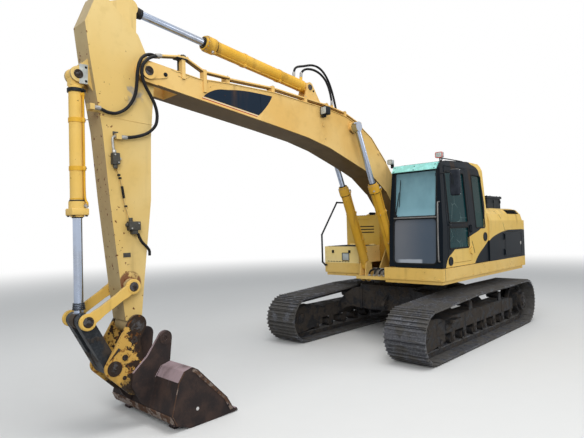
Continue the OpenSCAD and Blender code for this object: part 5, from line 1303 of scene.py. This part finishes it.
cast = dirty_steel("cast_rust", (0.04, 0.034, 0.03), (0.034, 0.022, 0.016), 0.45, 0.6, 0.15, 16.0)
CAST_RINGS = [(PUSH_PIN, 0.074, 0.01), (BUCKET_PIN, 0.078, 0.003), ((5.686, 0.885), 0.038, 0.003),
              ((5.686, 0.885), 0.02, 0.003)]
COUPLER_RIB = [(5.858, 0.836), (5.836, 0.816), (5.93, 0.742), (5.962, 0.716)]
castings = []
for side in (1, -1):
    for x, z, r in ((5.792, 0.728, 0.03), (5.745, 0.435, 0.034)):
        castings += [(bar, (x, side * 0.17, z), (x, side * 0.184, z), r, 28, 0.004),
                     turned(ring, (x, z), side * 0.186, r * 0.45, r * 0.8, 0.006, 28)]
    castings += [turned(ring, place, side * (0.171 + high * 0.25), r * 0.62, r, high, 36)
                 for place, r, high in CAST_RINGS]
    castings += [(plate, COUPLER_RIB, side * 0.171, side * 0.18, 0.003),
                 (bolt, (5.8, side * 0.171, 0.53), (0, side, 0), 0.016, 0.012)]
piece("coupler_castings", ("digging_bucket", cast, "rusty_steel"), *castings)
piece("stick_end_pin_caps", ("arm", pin_steel, "link_steel"),
      *((bar, (5.65, side * 0.17, 1.03), (5.65, side * 0.1731, 1.03), 0.0475, 40, 0.001) for side in (1, -1)))

# %% [markdown]
# The bucket's ears end in a ring, and welds join them to its back. Its sides have a cutter plate along the
# front edge, and a wear strip goes round the heel. The lip is a thick plate whose edge digging has polished.

# %% Bucket fittings
edge_steel = dirty_steel("edge_steel", (0.2, 0.155, 0.13), (0.1, 0.055, 0.035), 0.4, 0.5, 0.5, 12.0)
EDGE = ("digging_bucket", edge_steel, "rusty_steel")
BUCKET_SIDE = 0.599
CUTTER = [(5.29, 0.588), (5.232, 0.548), (4.87, 0.18), (4.796, 0.052), (4.83, 0.038), (4.905, 0.172),
          (5.258, 0.522), (5.306, 0.556)]
REAR_RIM = [(5.392, 0.566), (5.46, 0.474), (5.539, 0.176), (5.492, 0.08)]
EAR_WELDS = [(0.203, [(5.405, 0.572), (5.478, 0.47), (5.545, 0.19)]), (0.165, [(5.405, 0.588), (5.48, 0.48)])]
dress, rim = [], [(plate, [(5.549, 0.171), (5.558, 0.167), (5.519, 0.082), (5.508, 0.086)], -0.598, 0.598, 0.002)]
for side in (1, -1):
    dress += [turned(ring, (5.352, 0.847), side * 0.203, 0.04, 0.07, 0.01, 36),
              turned(ring, (5.352, 0.847), side * 0.208, 0.02, 0.04, 0.004, 28)]
    dress += [(bead, [(x, side * y, z) for x, z in line], 0.007) for y, line in EAR_WELDS]
    dress += [(bar, (x, side * BUCKET_SIDE, z), (x, side * 0.6105, z), 0.013, 16, 0.002)
              for x, z in ((5.18, 0.47), (5.0, 0.285), (4.862, 0.105))]
    dress.append((box, (5.3, side * 0.45 - 0.05, 0.0045), (5.46, side * 0.45 + 0.05, 0.03), 0.004))
    rim += [(plate, CUTTER, side * BUCKET_SIDE, side * 0.609, 0.0025),
            (bead, [(x, side * BUCKET_SIDE, z) for x, z in REAR_RIM], 0.0055)]
piece("bucket_welds_and_rings", ("digging_bucket", bucket_steel, "rusty_steel"), *dress)
piece("bucket_cutter_plates", EDGE, *rim)
piece("bucket_lip", EDGE, (box, (4.7245, -0.598, 0.0125), (4.8, 0.598, 0.023), 0.003, 2),
      *((box, (4.79, y - 0.035, 0.0405), (4.98, y + 0.035, 0.052), 0.004, 2) for y in row(-0.5, 0.25, 5)))
piece("bucket_dot", ("digging_bucket", satin("dot_paint", (0.62, 0.6, 0.58), 0.5, 0.5), "rusty_steel"),
      (bar, (5.246, BUCKET_SIDE, 0.171), (5.246, 0.601, 0.171), 0.018, 20))
print("linkage and bucket done")

# %% [markdown]
# The chain under each shoe plate is a row of forged links on pins, and four bolts hold every plate to its links.
# Each plate laps over the next one with a bent lip, so that stones can't fall through.
# They repeat a hundred times, so each is kept to a few faces and set by the same walk along the belt as the shoes.

# %% Walk along the track
GAUGE, PITCH, SHOE_OFFSET = 1.195, 0.19, 0.095
IDLER, DRIVE, ROLLER_Z = (1.872, 0.39), (-1.872, 0.43), 0.213
WHEELS = [(*DRIVE, 0.287), (-1.43, ROLLER_Z, 0.08), (1.43, ROLLER_Z, 0.08), (*IDLER, 0.257), (0.35, 0.665, 0.062)]

def belt(offset):
    """Stretches of the belt at an offset: centre, reach, first angle and sweep on each wheel, then the straight run."""
    turns, runs = [], []
    for (x0, z0, r0), (x1, z1, r1) in zip(WHEELS, WHEELS[1:] + WHEELS[:1]):
        span = math.hypot(x1 - x0, z1 - z0)
        turns.append(math.atan2(z1 - z0, x1 - x0) - math.acos((r0 - r1) / span))
        runs.append(math.sqrt(span * span - (r0 - r1) ** 2))
    return [(x, z, r + offset, turns[i - 1], (turns[i] - turns[i - 1]) % math.tau, runs[i])
            for i, (x, z, r) in enumerate(WHEELS)]

STRETCHES = belt(SHOE_OFFSET)
LENGTH = sum(reach * sweep + run for x, z, reach, start, sweep, run in STRETCHES)
COUNT = round(LENGTH / PITCH)

def on_belt(shoes, side):
    """The place of a shoe plate, counted in shoes along the belt: X runs back along the belt and Z out of it."""
    s = shoes * LENGTH / COUNT
    for x, z, reach, start, sweep, run in STRETCHES * 2:
        a, rest = (start + s / reach, 0.0) if s < reach * sweep else (start + sweep, s - reach * sweep)
        if rest < run:
            break
        s = rest - run
    out, way = Vector((math.cos(a), 0, math.sin(a))), Vector((-math.sin(a), 0, math.cos(a)))
    spot = Vector((x, side * GAUGE, z)) + out * reach + way * rest
    return Matrix.Translation(spot) @ Matrix((-way, (0, 1, 0), out)).transposed().to_4x4()

def block(bm, place, middle, size):
    """A plain block of six faces on the belt."""
    bmesh.ops.create_cube(bm, size=1.0, matrix=place @ Matrix.Translation(middle) @ Matrix.Diagonal((*size, 1)))

def rod(place, x, y0, y1, z0, z1, radius, sides):
    """The step of a plain bar on the belt."""
    return (bar, place @ Vector((x, y0, z0)), place @ Vector((x, y1, z1)), radius, sides)

heads, links = [], []
for side in (1, -1):
    for k in range(COUNT):
        shoe, joint = on_belt(k + 0.5, side), on_belt(k, side)
        heads += [rod(shoe, x, y, y, 0.0135, 0.0245, 0.014, 6) for y in (-0.075, 0.075) for x in (-0.032, 0.032)]
        heads.append((block, joint, (0, 0, -0.0045), (0.034, 0.636, 0.007)))
        links += [(block, shoe, (0, y, -0.048), (0.15, 0.007, 0.062)) for y in (-0.109, 0.109)]
        links += [rod(joint, 0, s * 0.101, s * 0.1145, -0.05, -0.05, 0.026, 10) for s in (-1, 1)]
piece("shoe_bolts_and_lips", ("undercarriage", shoe_steel, "muddy_steel"), *heads)
piece("chain_links_and_pins", ("undercarriage", roller_steel, "muddy_steel"), *links)
print("shoes in each track:", COUNT)

# %% [markdown]
# Rollers, idler and final drive end in forged caps with bolts. The frame has a bolted cover over the grease valve
# that tightens the track, weld seams, and a serrated step.

# %% Track frame fittings
DRIVE_BOLTS = [(0.25, 0.032, 0.013, 20), (0.192, 0.165, 0.011, 24), (0.13, 0.225, 0.011, 12),
               (0.055, 0.245, 0.014, 3)]
DRIVE_RINGS = [(0.206, 0.215, 0.168), (0.148, 0.158, 0.228), (0.078, 0.088, 0.247)]
YOKE = [(1.3, 0.52), (1.498, 0.575), (1.985, 0.604), (2.08, 0.425), (2.055, 0.206), (1.925, 0.138), (1.3, 0.225)]
SEAMS = [([(-1.5, 0.333), (1.5, 0.333)], 0.0045), ([(-1.27, 0.552), (1.05, 0.552), (1.54, 0.495)], 0.0045),
         *(([(x, 0.34), (x, 0.548)], 0.004) for x in (-0.95, 0.0, 0.6))]

def side_fittings(side):
    """Steps for the caps and for the frame of one track; at measures outwards from the track's middle."""
    def at(x, off, z): return (x, side * (GAUGE + off), z)
    def bolts(centre, radius, off, size, number, height, way):
        return [(bolt, at(centre[0] + radius * math.cos(a), off, centre[1] + radius * math.sin(a)), (0, way, 0), size,
                 height, False) for a in circle(number)]
    hubs, frames = [], []
    for s in (1, -1):
        for x in row(-1.43, 2.86 / 7, 8):
            hubs.append((bar, at(x, s * 0.14, ROLLER_Z), at(x, s * 0.154, ROLLER_Z), 0.034, 20, 0.004))
            hubs += [(bolt, at(x + t, s * 0.14, 0.262), (0, side * s, 0), 0.009, 0.008, False)
                     for t in (-0.024, 0.024)]
        hubs += [(bar, at(IDLER[0], s * 0.14, IDLER[1]), at(IDLER[0], s * 0.158, IDLER[1]), 0.078, 32, 0.005),
                 (ring, at(IDLER[0], s * 0.142, IDLER[1]), (0, 1, 0), 0.092, 0.112, 0.008, 36)]
        hubs += bolts(IDLER, 0.055, s * 0.158, 0.009, 6, 0.007, side * s)
        frames += [(bead, [at(x, s * 0.1465, z) for x, z in line], r) for line, r in SEAMS]
        frames.append((bead, [at(x, s * 0.1425, z) for x, z in YOKE], 0.004))
    for radius, off, size, number in DRIVE_BOLTS:
        hubs += bolts(DRIVE, radius, off, size, number, size * 0.7, side)
    hubs += [(ring, at(DRIVE[0], off, DRIVE[1]), (0, 1, 0), inner, wide, 0.006, 48) for inner, wide, off in DRIVE_RINGS]
    hubs += [(bolt, at(x, 0.1535, z), (0, side, 0), 0.009, 0.008) for x in (1.098, 1.272) for z in (0.392, 0.453)]
    low, high = sorted((side * 1.3395, side * 1.3495))
    frames.append((box, (1.08, low, 0.375), (1.29, high, 0.47), 0.004))
    low, high = sorted((side * 1.345, side * 1.445))
    frames += [(box, (x, low, 0.528), (x + 0.009, high, 0.536), 0.002, 1) for x in row(0.975, 0.035, 9)]
    return hubs, frames

(left_hubs, left_frames), (right_hubs, right_frames) = side_fittings(1), side_fittings(-1)
piece("roller_and_drive_caps", ("undercarriage", roller_steel, "muddy_steel"), *left_hubs, *right_hubs)
piece("track_frame_fittings", ("undercarriage", frame_steel, "muddy_steel"), *left_frames, *right_frames)

# %% [markdown]
# The swing ring is a large bearing. Bolts ring its flange, its grease seal shows as a thin lip,
# and the carbody below has a bolted belly cover and long welds where its legs leave the middle box.

# %% Swing ring and carbody
steps, cover = [], []
for a in circle(40):
    x, y = math.cos(a), math.sin(a)
    steps += [(bolt, (0.655 * x, 0.655 * y, 0.905), (0, 0, 1), 0.012, 0.011, False),
              (bar, (0.642 * x, 0.642 * y, 0.985), (0.642 * x, 0.642 * y, 1.03), 0.01, 6)]
steps += [(ring, (0, 0, 0.95), (0, 0, 1), 0.636, 0.646, 0.012, 96),
          (ring, (0, 0, 1.036), (0, 0, 1), 0.636, 0.648, 0.01, 96)]
for end in (1, -1):
    low, high = sorted((end * 0.759, end * 0.77))
    cover += [(box, (low, y - 0.12, 0.6), (high, y + 0.12, 0.78), 0.004) for y in (-0.36, 0.36)]
    steps += [(bolt, (end * 0.77, y + dy, z), (end, 0, 0), 0.01, 0.008)
              for y in (-0.36, 0.36) for dy in (-0.1, 0.1) for z in (0.618, 0.762)]
    for x, y, z0, z1, r in ((0.762, 0.2, 0.48, 0.89, 0.005), (0.448, 0.563, 0.48, 0.85, 0.006),
                            (0.792, 0.563, 0.48, 0.85, 0.006), (0.448, 1.046, 0.345, 0.545, 0.006),
                            (0.792, 1.046, 0.345, 0.545, 0.006)):
        cover += [(bead, [(end * x, side * y, z0), (end * x, side * y, z1)], r) for side in (1, -1)]
piece("swing_ring_bolts", ("undercarriage", ring_steel, "muddy_steel"), *steps)
piece("carbody_covers_and_welds", ("undercarriage", frame_steel, "muddy_steel"), *cover)

# %% [markdown]
# The tail: rings round the two lifting bores, a grille over the gap above the counterweight, bands on the air cleaner,
# and the steel lines that carry oil from the swivel to the boom's foot.

# %% Tail fittings
piece("air_cleaner_bands", DARK,
      *((ring, (-2.44, y, 2.012), (0, 0, 1), 0.03, 0.062, 0.01, 32) for y in (-0.7, 0.7)),
      *((box, (x - 0.014, 0.865, 2.255), (x + 0.014, 1.035, 2.459), 0.003) for x in (-1.9, -1.575, -1.25)),
      *((box, (x - 0.02, 1.032, 2.36), (x + 0.02, 1.044, 2.42), 0.003) for x in (-1.9, -1.575, -1.25)),
      *((bolt, (x, y, 2.495), (0, 0, 1), 0.01, 0.007)
        for x in (-1.91, -1.74, -1.41, -1.24) for y in (0.87, 1.03)))
piece("counterweight_plugs", GRILLE, (bar, (-2.06, -0.62, 2.3), (-2.06, -0.62, 2.318), 0.06, 28, 0.003),
      *((bar, (x + 0.06, y, 1.3), (x, y, 1.3), 0.034, 24, 0.004)
        for x, y in ((-2.74, 0.0), (-2.7, 0.42), (-2.7, -0.42))))

def mouth_top(y):
    """Height of the body's inner outline over Y, where the grille ends."""
    y = abs(y)
    return 2.24 if y < 1.1 else 2.24 - (y - 1.1) * 0.3 if y < 1.22 else 2.204 - (y - 1.22) * 1.02

GRILLE_BARS = [(2.016, 1.3), (2.06, 1.3), (2.105, 1.3), (2.15, 1.27), (2.19, 1.225), (2.232, 1.11)]
piece("rear_grille", GRILLE,
      *((box, (-2.17, y - 0.005, 2.012), (-2.158, y + 0.005, mouth_top(y)), 0.001, 1) for y in row(-1.3, 0.05, 53)),
      *((box, (-2.176, -half, z - 0.004), (-2.168, half, z + 0.004), 0.001, 1) for z, half in GRILLE_BARS))
DECK_LINES = (-0.15, -0.05, 0.05, 0.15)
for k, y in enumerate(DECK_LINES):
    tube(f"deck_line_{k}", ("house", (rubber, black_paint)[k % 2], "hose_rubber"),
         [(0.74, y, 1.112), (0.76, y, 1.17), (0.82, y * 0.9, 1.205), (0.96, y * 0.9, 1.21 + 0.012 * (k % 2)),
          (1.04, y, 1.175), (1.062, y, 1.112)], 0.017, 4)
piece("deck_line_fittings", ("house", fitting_zinc, "link_steel"),
      (box, (0.88, -0.17, 1.105), (0.905, 0.17, 1.232), 0.004),
      *((bar, (x, y, 1.105), (x, y, 1.135), 0.025, 6, 0.003) for y in DECK_LINES for x in (0.74, 1.062)))
print("undercarriage and tail done")

# %% [markdown]
# The studio: a pale floor that keeps the machine's shadow, a white world for the camera, and three soft lamps.
# Light Path tells camera, mirror and glass rays apart from the rays that light the machine.
# So the background can be white while the light stays at a plain level.

# %% Floor
def shown_to_camera(tree):
    path = tree.nodes.new("ShaderNodeLightPath")
    total = path.outputs["Is Camera Ray"]
    for name in ("Is Glossy Ray", "Is Transmission Ray"):
        add = tree.nodes.new("ShaderNodeMath")
        add.operation = "MAXIMUM"
        tree.links.new(total, add.inputs[0])
        tree.links.new(path.outputs[name], add.inputs[1])
        total = add.outputs[0]
    return total

bm = bmesh.new()
bmesh.ops.create_grid(bm, x_segments=2, y_segments=2, size=60.0)
floor_mesh = bpy.data.meshes.new("floor")
bm.to_mesh(floor_mesh)
bm.free()
floor = bpy.data.objects.new("floor", floor_mesh)
bpy.context.scene.collection.objects.link(floor)
floor_look = Finish("floor_look", Roughness=0.95)
far = floor_look.get("ShaderNodeVectorMath", {"operation": "LENGTH"}, "Value", Vector=floor_look.spot)
grit = floor_look.grain(3.0, 6.0)
seen = Wire(floor_look, shown_to_camera(floor_look.tree))
pale = floor_look.mix(grit * 0.25, (0.78, 0.78, 0.77), (0.7, 0.7, 0.69))
floor_look.use(Base_Color=floor_look.mix(seen, (0.26, 0.26, 0.25), pale))
white = floor_look.get("ShaderNodeEmission", {}, 0, Color=(1.0, 1.0, 1.0), Strength=1.0)
blend = floor_look.add("ShaderNodeMixShader", {})
floor_look.feed(blend, 0, floor_look.fade(far, 9.0, 26.0))
floor_look.tree.links.new(floor_look.shader.outputs[0], blend.inputs[1])
floor_look.tree.links.new(white.socket, blend.inputs[2])
floor_look.tree.links.new(blend.outputs[0], floor_look.output.inputs[0])
floor_mesh.materials.append(floor_look.material)

# %% World and lamps
world = bpy.data.worlds.new("studio")
world.use_nodes = True
bpy.context.scene.world = world
tree = world.node_tree
tree.nodes.clear()
both, end = tree.nodes.new("ShaderNodeMixShader"), tree.nodes.new("ShaderNodeOutputWorld")
tree.links.new(shown_to_camera(tree), both.inputs[0])
for slot, shade, strength in ((1, (0.9, 0.95, 1.0, 1.0), 0.4), (2, (1.0, 1.0, 1.0, 1.0), 1.0)):
    light = tree.nodes.new("ShaderNodeBackground")
    light.inputs["Color"].default_value, light.inputs["Strength"].default_value = shade, strength
    tree.links.new(light.outputs[0], both.inputs[slot])
tree.links.new(both.outputs[0], end.inputs[0])

def soft_lamp(name, place, target, size, watts, shade=(1.0, 1.0, 1.0)):
    data = bpy.data.lights.new(name, "AREA")
    data.shape, data.size, data.energy, data.color = "DISK", size, watts, shade
    lamp = bpy.data.objects.new(name, data)
    lamp.location = place
    lamp.rotation_euler = (Vector(target) - Vector(place)).to_track_quat("-Z", "Y").to_euler()
    bpy.context.scene.collection.objects.link(lamp)

soft_lamp("sky_lamp", (4.0, 3.0, 13.0), (1.5, 0.0, 1.5), 9.0, 790)
soft_lamp("front_lamp", (12.0, 9.0, 7.0), (1.5, 0.0, 1.5), 6.0, 790)
soft_lamp("side_lamp", (-4.0, 11.0, 6.0), (0.0, 0.0, 1.5), 6.0, 250, (1.0, 0.98, 0.95))
bpy.context.scene.view_settings.view_transform = "Standard"
print("studio ready")
